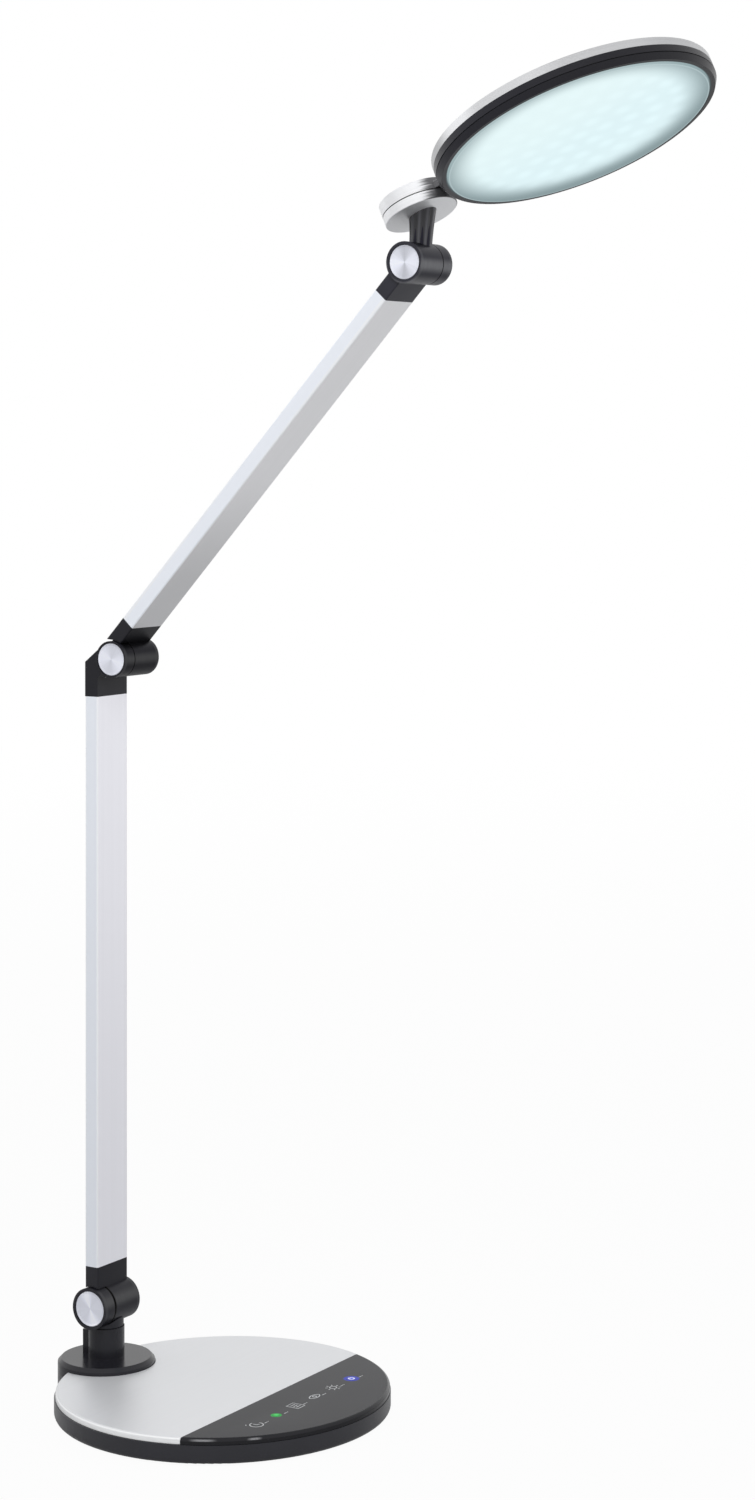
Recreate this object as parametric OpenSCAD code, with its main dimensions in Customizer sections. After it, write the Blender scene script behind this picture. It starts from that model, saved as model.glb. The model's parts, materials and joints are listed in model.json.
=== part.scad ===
// LED desk lamp with a weighted base, two hinged arms and a swivelling round head.
// Origin at the centre of the base's underside, +Z up, control panel towards -Y.

/* [Base] */
// Outer diameter of the base housing
base_d = 200; // [180:1:240]
// Height of the top cover above the desk
base_h = 16; // [15:0.5:24]
// Wall thickness of the housing, also the rounding of its lower edge
housing_wall = 3; // [2.4:0.2:4]
// Thickness of the housing's deck
deck_t = 2; // [1.6:0.2:3]
// Thickness of the foot pad
pad_t = 1; // [0.6:0.2:3]
// Distance of the foot pad's edge from the housing's side
pad_inset = 8; // [5:0.5:20]
// Thickness of the bottom cover
floor_t = 1.5; // [1.2:0.1:2.5]
// Play between the steel weight and the deck above it
weight_play = 0.5; // [0.3:0.1:2]
// Play between the steel weight and the housing's wall
weight_gap = 1.2; // [0.5:0.1:4]
// Height of the top cover's skirt
cover_h = 4; // [4:0.2:6]
// Sheet thickness of the top cover
cover_t = 1.5; // [1:0.1:1.8]
// Bevel of the top cover's edge
cover_edge = 1; // [0.4:0.1:1.4]
// Distance of the top cover's side from the housing's side
cover_inset = 0.8; // [0.2:0.1:2]

/* [Control panel] */
// Distance of the panel's straight edge from the base's centre
panel_chord = 35.6; // [30:0.2:45]
// Thickness of the panel's plate
panel_t = 2.2; // [1.6:0.1:2.4]
// Rounding of the panel's front edge
panel_edge = 2.2; // [1:0.1:3]
// Distance of the panel's side from the housing's side
panel_inset = 0.4; // [0.2:0.1:1]
// Width of the seam between panel and top cover
panel_seam = 0.25; // [0.1:0.05:0.6]
// How far the row of touch marks lies behind the middle of the panel
mark_shift = 7.6; // [4:0.2:12]
// Sideways place of the first touch mark
mark_first = -52; // [-54:1:-46]
// Pitch of the touch marks
mark_pitch = 20; // [16:0.5:21]
// Diameter of the charge light's lens
charge_light_d = 4.6; // [2:0.1:6]
// Diameter of the power light's lens
power_light_d = 6.8; // [4:0.1:8]
// Thickness of the touch board
board_t = 1.2; // [0.8:0.1:1.4]
// Length of the touch board
board_l = 114; // [112:1:118]
// Width of the touch board
board_w = 26; // [22:1:28]

/* [Power inlet] */
// Bore of the inlet
inlet_d = 5.6; // [5:0.1:6]
// Diameter of the inlet's contact pin
inlet_pin_d = 2; // [1.2:0.1:2.4]
// Depth of the inlet's bore
inlet_depth = 9; // [7:0.5:11]
// Outer diameter of the inlet's collar
inlet_collar_d = 7.4; // [6.8:0.1:7.8]
// Width of the inlet's body
inlet_w = 9; // [8:0.5:11]
// Length of the inlet's body
inlet_l = 12; // [11.5:0.5:13]

/* [Pedestal and swivel] */
// Distance of the swivel axis behind the base's centre
pedestal_y = 87; // [80:0.5:95]
// Diameter of the pedestal's disc and of the housing's rear lobe
pedestal_d = 59; // [56:0.5:70]
// Height of the pedestal's disc above the top cover
pedestal_h = 4; // [3:0.2:8]
// Bevel of the pedestal's rim
pedestal_bevel = 2.2; // [0.5:0.1:2.6]
// Diameter of the column
column_d = 22; // [20:0.5:26]
// Height of the column above the disc
column_h = 18.5; // [17:0.5:40]
// Width of the rib behind the column
rib_w = 8; // [5:0.5:12]
// How far the rib stands out of the column
rib_out = 4; // [2:0.2:6]
// Height of the rib
rib_h = 15; // [8:0.5:16]
// Diameter of the neck's shaft
shaft_d = 14; // [12:0.2:15]
// Bore through the shaft for the wire
shaft_bore = 7; // [4:0.2:9]
// Diameter of the neck above the column
neck_d = 21; // [19.5:0.5:22]
// Thickness of the washer under the neck
swivel_washer_t = 0.6; // [0.4:0.1:1]
// Thickness of the lock washer under the pedestal
lock_washer_t = 1; // [0.6:0.1:1.4]
// Height of the swivel nut
swivel_nut_h = 3.5; // [2.5:0.1:4]
// Outer diameter of the swivel nut and its lock washer
swivel_nut_d = 20.5; // [19:0.5:22]

/* [Hinges] */
// Length of every hinge from face to face
hinge_len = 34; // [33:0.5:40]
// Length of the short knuckle
knuckle_len = 9.6; // [9.2:0.1:11]
// Thickness of the friction washer between the knuckles
friction_t = 0.6; // [0.4:0.1:1]
// Diameter of the lower hinge's barrel
lower_barrel_d = 25.2; // [23:0.2:28]
// Diameter of the elbow's barrel
elbow_barrel_d = 22.2; // [20.4:0.2:22.4]
// Diameter of the head hinge's barrel
head_barrel_d = 23.8; // [23:0.2:28]
// Gap between the column's top and the lower barrel
barrel_lift = 1.1; // [1:0.1:3]
// Gap round a barrel where the other knuckle's piece passes it
barrel_gap = 0.4; // [0.3:0.05:0.8]
// Width of the black rim round a hinge cap
cap_rim = 1.9; // [1.4:0.1:2.4]
// Width of the black rim round an elbow cap
elbow_cap_rim = 1.2; // [1:0.1:2.4]
// Thickness of a hinge cap
cap_t = 1.4; // [0.8:0.1:1.6]
// How far a hinge cap lies below the hinge's end face
cap_sink = 0.5; // [0.2:0.1:0.8]
// Diameter of a hinge bolt
bolt_d = 6; // [5:0.2:6.6]
// Diameter of a hinge bolt's head
bolt_head_d = 10; // [9:0.2:11]
// Height of a hinge bolt's head
bolt_head_h = 3; // [2:0.1:3.2]
// Wall of the short knuckle under the bolt's head
knuckle_floor = 3.6; // [3:0.1:4]
// Width across flats of a hinge nut
nut_af = 10; // [9:0.2:10.6]
// Height of a hinge nut
nut_h = 4.5; // [3:0.1:5]
// Thickness of a hinge's spring washer
spring_t = 1.2; // [0.8:0.1:1.6]

/* [Arms] */
// Width of both arm tubes
tube_w = 30; // [27:0.5:32]
// Depth of both arm tubes
tube_depth = 9.5; // [8.6:0.1:11]
// Wall thickness of both arm tubes
tube_wall = 1.2; // [0.8:0.1:1.6]
// Corner rounding of both arm tubes
tube_corner = 1; // [0.5:0.1:1.5]
// Length of the lower tube
lower_tube_len = 346; // [200:1:450]
// Height of the lower tube's end above the lower hinge
lower_foot_len = 25.2; // [23:0.2:40]
// Height of the lower arm's head block above its tube
lower_head_len = 11.4; // [7:0.2:12]
// Height of the elbow's axis above the lower tube
elbow_rise = 23.2; // [22.4:0.2:30]
// Distance of the elbow's axis in front of the lower tube
elbow_forward = 16; // [15:0.2:20]
// Distance of the web's rear corner below the elbow's axis
web_drop = 2.2; // [1:0.2:6]
// Lean of the upper arm from upright
upper_angle = 43; // [20:1:60]
// Length of the upper tube
upper_tube_len = 264; // [160:1:360]
// Distance of the upper tube's start from the elbow's axis
upper_foot_len = 24; // [20:0.5:40]
// Distance of the head hinge's axis from the upper tube's end
upper_head_len = 25; // [20:0.5:40]
// Distance of the upper tube's middle from the elbow's axis
upper_offset = 7; // [6:0.2:7.4]
// Length of the spigots inside the tubes
spigot_len = 16; // [8:0.5:30]
// Diameter of the wires inside the tubes
wire_d = 3.2; // [2:0.1:4]

/* [Stem and swivel disc] */
// Diameter of the stem
stem_d = 13; // [10:0.2:13.2]
// Length of the stem from the head hinge's axis to the swivel disc
stem_len = 26.8; // [26:0.1:50]
// Angle between the stem and the swivel disc's axis
stem_angle = 30; // [10:1:34]
// Diameter of the stem's foot plate
stem_foot_d = 16; // [15.6:0.1:17]
// Depth of the foot plate's seat in the disc
stem_foot_t = 2.6; // [2:0.1:2.8]
// How far the foot plate stands out of the disc
stem_foot_lip = 1.2; // [0.6:0.1:2]
// Diameter of both swivel discs
disc_d = 43.5; // [40:0.5:50]
// Thickness of the lower swivel disc
disc_t = 7; // [6.8:0.1:10]
// Thickness of the upper swivel disc
bracket_t = 7.1; // [6.8:0.1:10]
// Seam between the swivel discs
disc_seam = 0.2; // [0.1:0.05:0.5]
// Rounding of the swivel discs' outer edges
disc_edge = 0.8; // [0.3:0.1:1.5]
// Diameter of the swivel bolt's hollow shank
swivel_bolt_d = 8; // [7:0.1:8.1]
// Thickness of the swivel bolt's flange
swivel_flange_t = 1; // [0.8:0.1:1.2]
// Thickness of the swivel washer
disc_washer_t = 0.8; // [0.6:0.1:1.2]

/* [Head] */
// Upward tilt of the head from level
head_tilt = 25.5; // [0:0.5:40]
// Sideways lean of the head and the swivel disc
head_lean = 3.6; // [0:0.1:6]
// Diameter of the head
head_d = 166; // [140:1:170]
// Distance of the head's centre from the swivel disc's axis
head_reach = 110.5; // [109:0.5:130]
// Height of the back cover's side
back_h = 5.1; // [4:0.1:6]
// Plate thickness of the back cover
back_t = 1.6; // [1.2:0.1:2]
// Wall thickness of the back cover's side
back_wall = 1.8; // [1.2:0.1:2.4]
// Rounding of the back cover's edge
back_edge = 1.2; // [0.4:0.1:1.5]
// Height of the bezel ring below the back cover
bezel_h = 8.1; // [7:0.1:12]
// Width of the bezel's inner and outer slopes
bezel_slope = 2; // [1:0.1:2.4]
// Width of the bezel seen from below
bezel_w = 5.4; // [5.4:0.1:8]
// Wall thickness of the bezel round the diffuser
bezel_wall = 1.6; // [1.2:0.1:2]
// Thickness of the lip that carries the diffuser
bezel_lip = 1.2; // [0.8:0.1:2]
// Depth and height of the bezel's groove
bezel_groove = 0.6; // [0.3:0.1:1]
// Thickness of the diffuser
diffuser_t = 2; // [1:0.1:2.6]
// Thickness of the LED board
led_board_t = 1.2; // [0.8:0.1:1.6]
// Width of an LED chip
chip_w = 3.5; // [2:0.1:5]
// Height of an LED chip
chip_h = 0.8; // [0.5:0.1:1]
// Distance between the rings of LED chips
chip_pitch = 15; // [12:0.5:18]
// Width of the bracket's tongue
tongue_w = 20; // [18:0.5:26]
// Thickness of the bracket's tongue
tongue_t = 4; // [3.6:0.1:6]
// How far the tongue reaches over the back cover
tongue_over = 34; // [31:0.5:50]

/* [Hidden] */
$fn = 96;

// Clearances: running fit of a bolt, play of a seated piece, play of a small seat
run_fit = 0.05;
seat_fit = 0.1;
loose_fit = 0.25;
// Overrun of a cutting shape past the face that it opens
past = 1;

// Small screws: shank, head and the skin left over a blind hole's end
screw_d = 2.9;
screw_head_d = 5.6;
screw_head_h = 1;
screw_boss_d = 7;
screw_skin = 1;
base_screw_r = 78;
base_screw_angle = 45;
base_screw_count = 4;
pedestal_screw_x = 20;
pedestal_screw_len = 6;
fine_screw_d = 2;
fine_screw_head_d = 3.4;
fine_screw_head_h = 1.2;

// Heights in the base
floor_z = pad_t + floor_t;
deck_z = base_h - cover_h;
deck_under = deck_z - deck_t;
cover_under = base_h - cover_t;
panel_under = base_h - panel_t;
board_top = deck_z + board_t;
inner_r = base_d / 2 - housing_wall;
lobe_r = pedestal_d / 2 - housing_wall;
weight_r = inner_r - weight_gap;
weight_t = deck_under - weight_play - floor_z;
cover_r = base_d / 2 - cover_inset;
panel_r = base_d / 2 - panel_inset;
panel_wall = 2;
mark_row = (panel_chord + panel_r) / 2 - mark_shift;
deck_hole_play = 1.5;
deck_hole_d = swivel_nut_d + 2 * deck_hole_play;

// Power inlet
inlet_z = (floor_z + deck_under) / 2;
inlet_back = pedestal_y + sqrt(lobe_r * lobe_r - inlet_w * inlet_w / 4) - seat_fit;
inlet_end = pedestal_y + pedestal_d / 2 - loose_fit;
inlet_floor = inlet_end - inlet_depth;

// Heights of the pedestal, the neck and the lower hinge
disc_top = base_h + pedestal_h;
column_top = disc_top + column_h;
neck_z = column_top + swivel_washer_t;
washer_inset = 0.5;
lower_hinge_z = column_top + barrel_lift + lower_barrel_d / 2;
shaft_end = deck_z - lock_washer_t - swivel_nut_h - loose_fit;

// Stations along a hinge, with the short knuckle on the -X side
end_x = hinge_len / 2;
knuckle_x = -end_x + knuckle_len;
barrel_x = knuckle_x + friction_t;
head_x = knuckle_x - knuckle_floor;
cap_seat = cap_sink + cap_t;
nut_gap = 1.2;
pocket_x = end_x - cap_seat - nut_h - spring_t - nut_gap;
bolt_end = pocket_x + spring_t + nut_h + nut_gap / 2;
pocket_d = nut_af / cos(30) + 2 * nut_gap;
cap_chamfer = 0.3;

// Arm sections and places
tube_in_w = tube_w - 2 * tube_wall;
tube_in_depth = tube_depth - 2 * tube_wall;
lower_tube_z = lower_hinge_z + lower_foot_len;
lower_tube_end = lower_tube_z + lower_tube_len;
elbow_y = pedestal_y - elbow_forward;
elbow_z = lower_tube_end + elbow_rise;
upper_tube_end = upper_foot_len + upper_tube_len;
upper_len = upper_tube_end + upper_head_len;
wire_in = spigot_len / 2;

// Elbow: the web's rear corner, the turn of its slope and the gap above it
elbow_r = elbow_barrel_d / 2;
web_back = elbow_forward + tube_depth / 2;
web_turn = acos(elbow_r / norm([web_back, web_drop])) - atan2(web_drop, web_back);
web_gap = barrel_gap + loose_fit;

// Head hinge and swivel disc in the lamp's frame
head_hinge_y = elbow_y + upper_offset * cos(upper_angle) - upper_len * sin(upper_angle);
head_hinge_z = elbow_z + upper_offset * sin(upper_angle) + upper_len * cos(upper_angle);
stem_lean = stem_angle - head_tilt;
disc_y = head_hinge_y - stem_len * sin(stem_lean);
disc_z = head_hinge_z + stem_len * cos(stem_lean);

// Heights along the swivel disc's axis, from the lower disc's underside
disc_floor_t = 2;
flange_z = stem_foot_t + disc_floor_t;
bracket_z = disc_t + disc_seam;
bracket_top = bracket_z + bracket_t;
disc_washer_z = bracket_z - disc_washer_t;
disc_spring_t = 0.8;
disc_nut_h = 2;
bracket_floor_t = 3;
disc_pocket_z = bracket_z + bracket_floor_t;
disc_nut_z = disc_pocket_z + disc_spring_t;
flange_over = 0.3;
swivel_flange_d = stem_foot_d + 2 * flange_over;
disc_land = 2.5;
disc_washer_in = swivel_flange_d + 2 * disc_land;
disc_rim = 4;
disc_washer_out = disc_d - 2 * disc_rim;
disc_nut_d = 13;
disc_pocket_d = 19;
bracket_cap_t = 1;
stem_screw_x = swivel_bolt_d / 2 + fine_screw_head_d / 2 + seat_fit;
stem_screw_skin = 0.3;
stem_screw_end = stem_foot_lip - stem_screw_skin;

// Heights in the head, down from the back cover's top
head_r = head_d / 2;
bezel_z = -back_h - bezel_h;
lip_z = bezel_z + bezel_lip;
lip_r = head_r - bezel_w;
well_r = head_r - back_wall - loose_fit - bezel_wall;
diffuser_r = well_r - loose_fit;
boss_h = 1.8;
led_board_z = -back_t - boss_h - led_board_t;
led_board_gap = 4;
led_board_r = well_r - led_board_gap;
chip_rings = floor((led_board_r - chip_w) / chip_pitch);
ring_step = 6;
boss_step = 2.5;
boss_at = [boss_step * chip_pitch, 0, 0];
boss_d = 6;
tongue_end = head_reach - head_r + tongue_over;
bracket_screw_pitch = 12;
bracket_screw_end = tongue_end - tongue_w / 2;
bracket_screw_y = [bracket_screw_end, bracket_screw_end - bracket_screw_pitch];
bracket_screw_x = 5;

// Frames of the joints
module at_swivel() translate([0, pedestal_y, 0]) children();
module at_lower() translate([0, pedestal_y, lower_hinge_z]) children();
module at_upper() translate([0, elbow_y, elbow_z]) rotate([upper_angle, 0, 0]) children();
module at_head_hinge() translate([0, head_hinge_y, head_hinge_z]) children();
module at_stem() at_head_hinge() rotate([stem_lean, 0, 0]) children();
module at_disc() translate([0, disc_y, disc_z]) rotate([-head_tilt, 0, 0]) rotate([0, head_lean, 0]) children();
module at_head() at_disc() translate([0, -head_reach, bracket_z]) children();

// Round bar along X
module bar_x(x0, x1, d) translate([x0, 0, 0]) rotate([0, 90, 0]) cylinder(h = x1 - x0, d = d);

// Round bar along Z
module bar_z(z0, z1, d) translate([0, 0, z0]) cylinder(h = z1 - z0, d = d);

// Ring along Z
module ring_z(z0, z1, d_out, d_in) {
  difference() {
    bar_z(z0, z1, d_out);
    bar_z(z0 - past, z1 + past, d_in);
  }
}

// Disc whose lower or upper edge is rounded
module soft_disc(r, z0, z1, edge, top) {
  edge_z = top ? z1 - edge : z0 + edge;
  flat_z = top ? z0 : z0 + edge;
  rotate_extrude() {
    translate([0, flat_z]) square([r, z1 - z0 - edge]);
    translate([0, z0]) square([r - edge, z1 - z0]);
    translate([r - edge, edge_z]) intersection() {
      circle(r = edge);
      translate([0, top ? 0 : -edge]) square(edge);
    }
  }
}

// Half space in front of (side -1) or behind (side 1) the plane y, as tall as the base
module half_plane(y, side) {
  start = side > 0 ? y : y - 2 * base_d;
  translate([-base_d, start, -past]) cube([2 * base_d, 2 * base_d, base_h + 2 * past]);
}

// Arm section with rounded corners, from z0 to z1
module arm_block(z0, z1) {
  translate([0, 0, z0]) linear_extrude(z1 - z0) arm_outline();
}

module arm_outline() {
  square([tube_w, tube_depth - 2 * tube_corner], center = true);
  square([tube_w - 2 * tube_corner, tube_depth], center = true);
  for (x = [-1, 1], y = [-1, 1]) {
    translate([x * (tube_w / 2 - tube_corner), y * (tube_depth / 2 - tube_corner)]) circle(r = tube_corner);
  }
}

// Tube with the arm's section
module arm_tube(len) {
  difference() {
    arm_block(0, len);
    translate([-tube_in_w / 2, -tube_in_depth / 2, -past]) cube([tube_in_w, tube_in_depth, len + 2 * past]);
  }
}

// Plug that fits inside a tube, from z0 to z1
module spigot(z0, z1) {
  w = tube_in_w - 2 * seat_fit;
  d = tube_in_depth - 2 * seat_fit;
  translate([-w / 2, -d / 2, z0]) cube([w, d, z1 - z0]);
}

// Pan-head screw standing on z, with its head below and its shank above
module screw_up(z, len, d, head_d, head_h) {
  bar_z(z - head_h, z, head_d);
  bar_z(z, z + len, d);
}

// Places of the base screws
module at_base_screws() {
  for (i = [0 : base_screw_count - 1]) {
    turn = base_screw_angle + 360 / base_screw_count * i;
    rotate([0, 0, turn]) translate([base_screw_r, 0, 0]) children();
  }
}

module at_pedestal_screws() {
  for (x = [-1, 1]) translate([x * pedestal_screw_x, pedestal_y, 0]) children();
}

// Cuts for the cap, the bolt's head and its shank in a short knuckle
module short_cuts(barrel_d, rim = cap_rim) {
  bar_x(-end_x - past, -end_x + cap_seat, barrel_d - 2 * rim + 2 * seat_fit);
  bar_x(-end_x, head_x, bolt_head_d + 2 * loose_fit);
  bar_x(-end_x, knuckle_x + past, bolt_d + 2 * seat_fit);
}

// Cuts for the cap, the nut and the bolt in a long barrel
module long_cuts(barrel_d, rim = cap_rim) {
  bar_x(end_x - cap_seat, end_x + past, barrel_d - 2 * rim + 2 * seat_fit);
  bar_x(pocket_x, end_x, pocket_d);
  bar_x(barrel_x - past, end_x, bolt_d + 2 * run_fit);
}

// Hinge bolt, with its head in the short knuckle
module hinge_bolt() color("silver") {
  bar_x(head_x - bolt_head_h, head_x, bolt_head_d);
  bar_x(head_x, bolt_end, bolt_d);
}

// Friction washer between the knuckles
module hinge_washer(barrel_d) color("dimgray") {
  difference() {
    bar_x(knuckle_x, barrel_x, barrel_d - 2 * cap_rim);
    bar_x(knuckle_x - past, barrel_x + past, bolt_d + 2 * seat_fit);
  }
}

// Spring washer under the nut
module hinge_spring() color("gray") {
  difference() {
    bar_x(pocket_x, pocket_x + spring_t, nut_af);
    bar_x(pocket_x - past, pocket_x + spring_t + past, bolt_d + 2 * seat_fit);
  }
}

// Hexagon nut on the bolt's end
module hinge_nut() color("silver") {
  difference() {
    translate([pocket_x + spring_t, 0, 0]) rotate([0, 90, 0]) {
      cylinder(h = nut_h, d = nut_af / cos(30), $fn = 6);
    }
    bar_x(pocket_x, end_x, bolt_d + 2 * run_fit);
  }
}

// Cap in the end of a hinge, on the -X side
module hinge_cap(barrel_d, rim = cap_rim) color("gainsboro") {
  r = barrel_d / 2 - rim;
  translate([-end_x + cap_sink, 0, 0]) rotate([0, 90, 0]) rotate_extrude() {
    polygon([[0, 0], [r - cap_chamfer, 0], [r, cap_chamfer], [r, cap_t], [0, cap_t]]);
  }
}

module base_pad() color("black") bar_z(0, pad_t, base_d - 2 * pad_inset);

module bottom_cover() color("dimgray") {
  difference() {
    union() {
      bar_z(pad_t, floor_z, 2 * (inner_r - loose_fit));
      at_swivel() bar_z(pad_t, floor_z, 2 * (lobe_r - loose_fit));
    }
    at_base_screws() bar_z(pad_t - past, pad_t + screw_head_h, screw_head_d + 2 * seat_fit);
    at_base_screws() bar_z(pad_t, floor_z + past, screw_d + 2 * seat_fit);
  }
}

module base_weight() color("gray") {
  difference() {
    bar_z(floor_z, floor_z + weight_t, 2 * weight_r);
    at_base_screws() bar_z(floor_z - past, deck_z, screw_boss_d + 2 * loose_fit);
    at_swivel() bar_z(floor_z - past, deck_z, pedestal_d);
  }
}

module base_housing() color("#2b2b2e") {
  difference() {
    union() {
      soft_disc(base_d / 2, pad_t, deck_z, housing_wall, false);
      at_swivel() soft_disc(pedestal_d / 2, pad_t, deck_z, housing_wall, false);
    }
    difference() {
      union() {
        bar_z(pad_t - past, deck_under, 2 * inner_r);
        at_swivel() bar_z(pad_t - past, deck_under, 2 * lobe_r);
      }
      at_base_screws() bar_z(floor_z, deck_z, screw_boss_d);
    }
    at_base_screws() bar_z(floor_z - past, deck_z - screw_skin, screw_d + 2 * seat_fit);
    at_swivel() bar_z(deck_under - past, deck_z + past, deck_hole_d);
    at_pedestal_screws() bar_z(deck_under - past, deck_z + past, screw_d + 2 * seat_fit);
    inlet_bar(inlet_back, inlet_end + 2 * past, inlet_collar_d + 2 * loose_fit);
  }
}

module top_cover() color("gainsboro") {
  difference() {
    rotate_extrude() {
      polygon([[0, deck_z], [cover_r, deck_z], [cover_r, base_h - cover_edge],
        [cover_r - cover_edge, base_h], [0, base_h]]);
    }
    intersection() {
      bar_z(deck_z - past, cover_under, 2 * (cover_r - cover_t));
      half_plane(cover_t - panel_chord, 1);
    }
    half_plane(-panel_chord, -1);
    at_swivel() bar_z(deck_z - past, base_h + past, pedestal_d + 2 * loose_fit);
  }
}

module control_panel() color("#5c5c5f") {
  edge_y = -panel_chord - panel_seam;
  difference() {
    soft_disc(panel_r, deck_z, base_h, panel_edge, true);
    half_plane(edge_y, 1);
    intersection() {
      bar_z(deck_z - past, panel_under, 2 * (panel_r - max(panel_wall, panel_edge)));
      half_plane(edge_y - panel_wall, -1);
    }
    at_mark(1) bar_z(deck_z, base_h + past, charge_light_d + 2 * seat_fit);
    at_mark(5) bar_z(deck_z, base_h + past, power_light_d + 2 * seat_fit);
  }
}

// Place of a touch mark, counted from 0 at the left
module at_mark(i) translate([mark_first + i * mark_pitch, -mark_row, 0]) children();

module touch_board() color("darkgreen") {
  translate([-board_l / 2, -mark_row - board_w / 2, deck_z]) cube([board_l, board_w, board_t]);
}

module charge_light() color("limegreen") at_mark(1) bar_z(board_top, base_h, charge_light_d);

module power_light() color("royalblue") at_mark(5) bar_z(board_top, base_h, power_light_d);

module power_inlet() color("#1d1d1f") {
  difference() {
    union() {
      translate([-inlet_w / 2, inlet_back - inlet_l, floor_z]) {
        cube([inlet_w, inlet_l, deck_under - floor_z - loose_fit]);
      }
      inlet_bar(inlet_back - past, inlet_end, inlet_collar_d);
    }
    difference() {
      inlet_bar(inlet_floor, inlet_end + past, inlet_d);
      inlet_bar(inlet_floor - past, inlet_end - past, inlet_pin_d);
    }
  }
}

// Round bar along Y on the inlet's axis
module inlet_bar(y0, y1, d) translate([0, y0, inlet_z]) rotate([-90, 0, 0]) cylinder(h = y1 - y0, d = d);

module base_screws() color("silver") {
  at_base_screws() {
    screw_up(pad_t + screw_head_h, deck_under - pad_t - screw_head_h, screw_d, screw_head_d, screw_head_h);
  }
}

module pedestal() color("#303034") {
  r = pedestal_d / 2;
  difference() {
    at_swivel() {
      rotate_extrude() {
        polygon([[0, deck_z], [r, deck_z], [r, disc_top - pedestal_bevel], [r - pedestal_bevel, disc_top],
          [column_d / 2, disc_top], [column_d / 2, column_top], [0, column_top]]);
      }
      translate([-rib_w / 2, 0, deck_z]) cube([rib_w, column_d / 2 + rib_out, disc_top + rib_h - deck_z]);
    }
    at_swivel() bar_z(deck_z - past, column_top + past, shaft_d + 2 * run_fit);
    at_pedestal_screws() {
      bar_z(deck_z - past, deck_under + pedestal_screw_len + seat_fit, screw_d + 2 * seat_fit);
    }
  }
}

module pedestal_screws() color("silver") {
  at_pedestal_screws() screw_up(deck_under, pedestal_screw_len, screw_d, screw_head_d, screw_head_h);
}

module hinge_neck() color("#303034") {
  difference() {
    union() {
      at_swivel() bar_z(shaft_end, neck_z + past, shaft_d);
      at_swivel() bar_z(neck_z, lower_hinge_z - bolt_d, neck_d);
      at_lower() bar_x(-end_x, knuckle_x, lower_barrel_d);
    }
    at_lower() bar_x(knuckle_x, end_x + past, lower_barrel_d + 2 * barrel_gap);
    at_lower() short_cuts(lower_barrel_d);
    at_swivel() bar_z(shaft_end - past, lower_hinge_z - bolt_d, shaft_bore);
  }
}

module swivel_washer() color("dimgray") {
  at_swivel() ring_z(column_top, neck_z, neck_d - 2 * washer_inset, shaft_d + 2 * seat_fit);
}

module lock_washer() color("gray") {
  at_swivel() ring_z(deck_z - lock_washer_t, deck_z, swivel_nut_d, shaft_d + 2 * seat_fit);
}

module swivel_nut() color("silver") {
  nut_top = deck_z - lock_washer_t;
  at_swivel() ring_z(nut_top - swivel_nut_h, nut_top, swivel_nut_d, shaft_d + 2 * run_fit);
}

module lower_hinge_bolt() at_lower() hinge_bolt();
module lower_hinge_washer() at_lower() hinge_washer(lower_barrel_d);
module lower_hinge_spring() at_lower() hinge_spring();
module lower_hinge_nut() at_lower() hinge_nut();
module lower_hinge_front_cap() at_lower() hinge_cap(lower_barrel_d);
module lower_hinge_rear_cap() at_lower() mirror([1, 0, 0]) hinge_cap(lower_barrel_d);

module lower_arm_foot() color("#303034") {
  at_lower() difference() {
    union() {
      bar_x(barrel_x, end_x, lower_barrel_d);
      arm_block(0, lower_foot_len);
      spigot(lower_foot_len - past, lower_foot_len + spigot_len);
    }
    bar_x(-tube_w, barrel_x, lower_barrel_d + 2 * barrel_gap);
    long_cuts(lower_barrel_d);
    bar_z(lower_barrel_d / 2, lower_foot_len + spigot_len + past, wire_d + 2 * seat_fit);
  }
}

module lower_arm_tube() color("gainsboro") {
  translate([0, pedestal_y, lower_tube_z]) arm_tube(lower_tube_len);
}

module lower_arm_head() color("#303034") {
  difference() {
    union() {
      translate([0, pedestal_y, lower_tube_end]) {
        spigot(-spigot_len, past);
        arm_block(0, lower_head_len);
      }
      elbow_web();
      translate([0, elbow_y, elbow_z]) bar_x(-end_x, knuckle_x, elbow_barrel_d);
    }
    translate([0, elbow_y, elbow_z]) short_cuts(elbow_barrel_d, elbow_cap_rim);
    translate([0, pedestal_y, lower_tube_end]) {
      bar_z(-spigot_len - past, lower_head_len + past, wire_d + 2 * seat_fit);
    }
    translate([0, elbow_y, elbow_z]) bar_x(knuckle_x, end_x + past, elbow_barrel_d + 2 * barrel_gap);
  }
}

// Web that runs from the lower arm's block up to the elbow's short knuckle, tangent to it
module elbow_web() {
  front = elbow_forward - tube_depth / 2;
  outline = [[web_back, -elbow_rise], [web_back, -web_drop], elbow_r * [cos(web_turn), sin(web_turn)],
    [0, 0], [front, lower_head_len - elbow_rise], [front, -elbow_rise]];
  translate([-tube_w / 2, elbow_y, elbow_z]) rotate([90, 0, 90]) {
    linear_extrude(knuckle_x + tube_w / 2) polygon(outline);
  }
}

module lower_arm_wire() color("#222222") {
  at_swivel() bar_z(lower_tube_z - wire_in, lower_tube_end + lower_head_len / 2, wire_d);
}

module elbow_bolt() at_upper() hinge_bolt();
module elbow_washer() at_upper() hinge_washer(elbow_barrel_d);
module elbow_spring() at_upper() hinge_spring();
module elbow_nut() at_upper() hinge_nut();
module elbow_front_cap() at_upper() hinge_cap(elbow_barrel_d, elbow_cap_rim);
module elbow_rear_cap() at_upper() mirror([1, 0, 0]) hinge_cap(elbow_barrel_d, elbow_cap_rim);

// Room for the lower arm's web when the upper arm stands upright
module web_room() {
  rotate([web_turn, 0, 0]) translate([-tube_w, -tube_w, -tube_w]) {
    cube([tube_w + (knuckle_x + barrel_x) / 2, tube_w + elbow_r + web_gap, tube_w]);
  }
}

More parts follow.
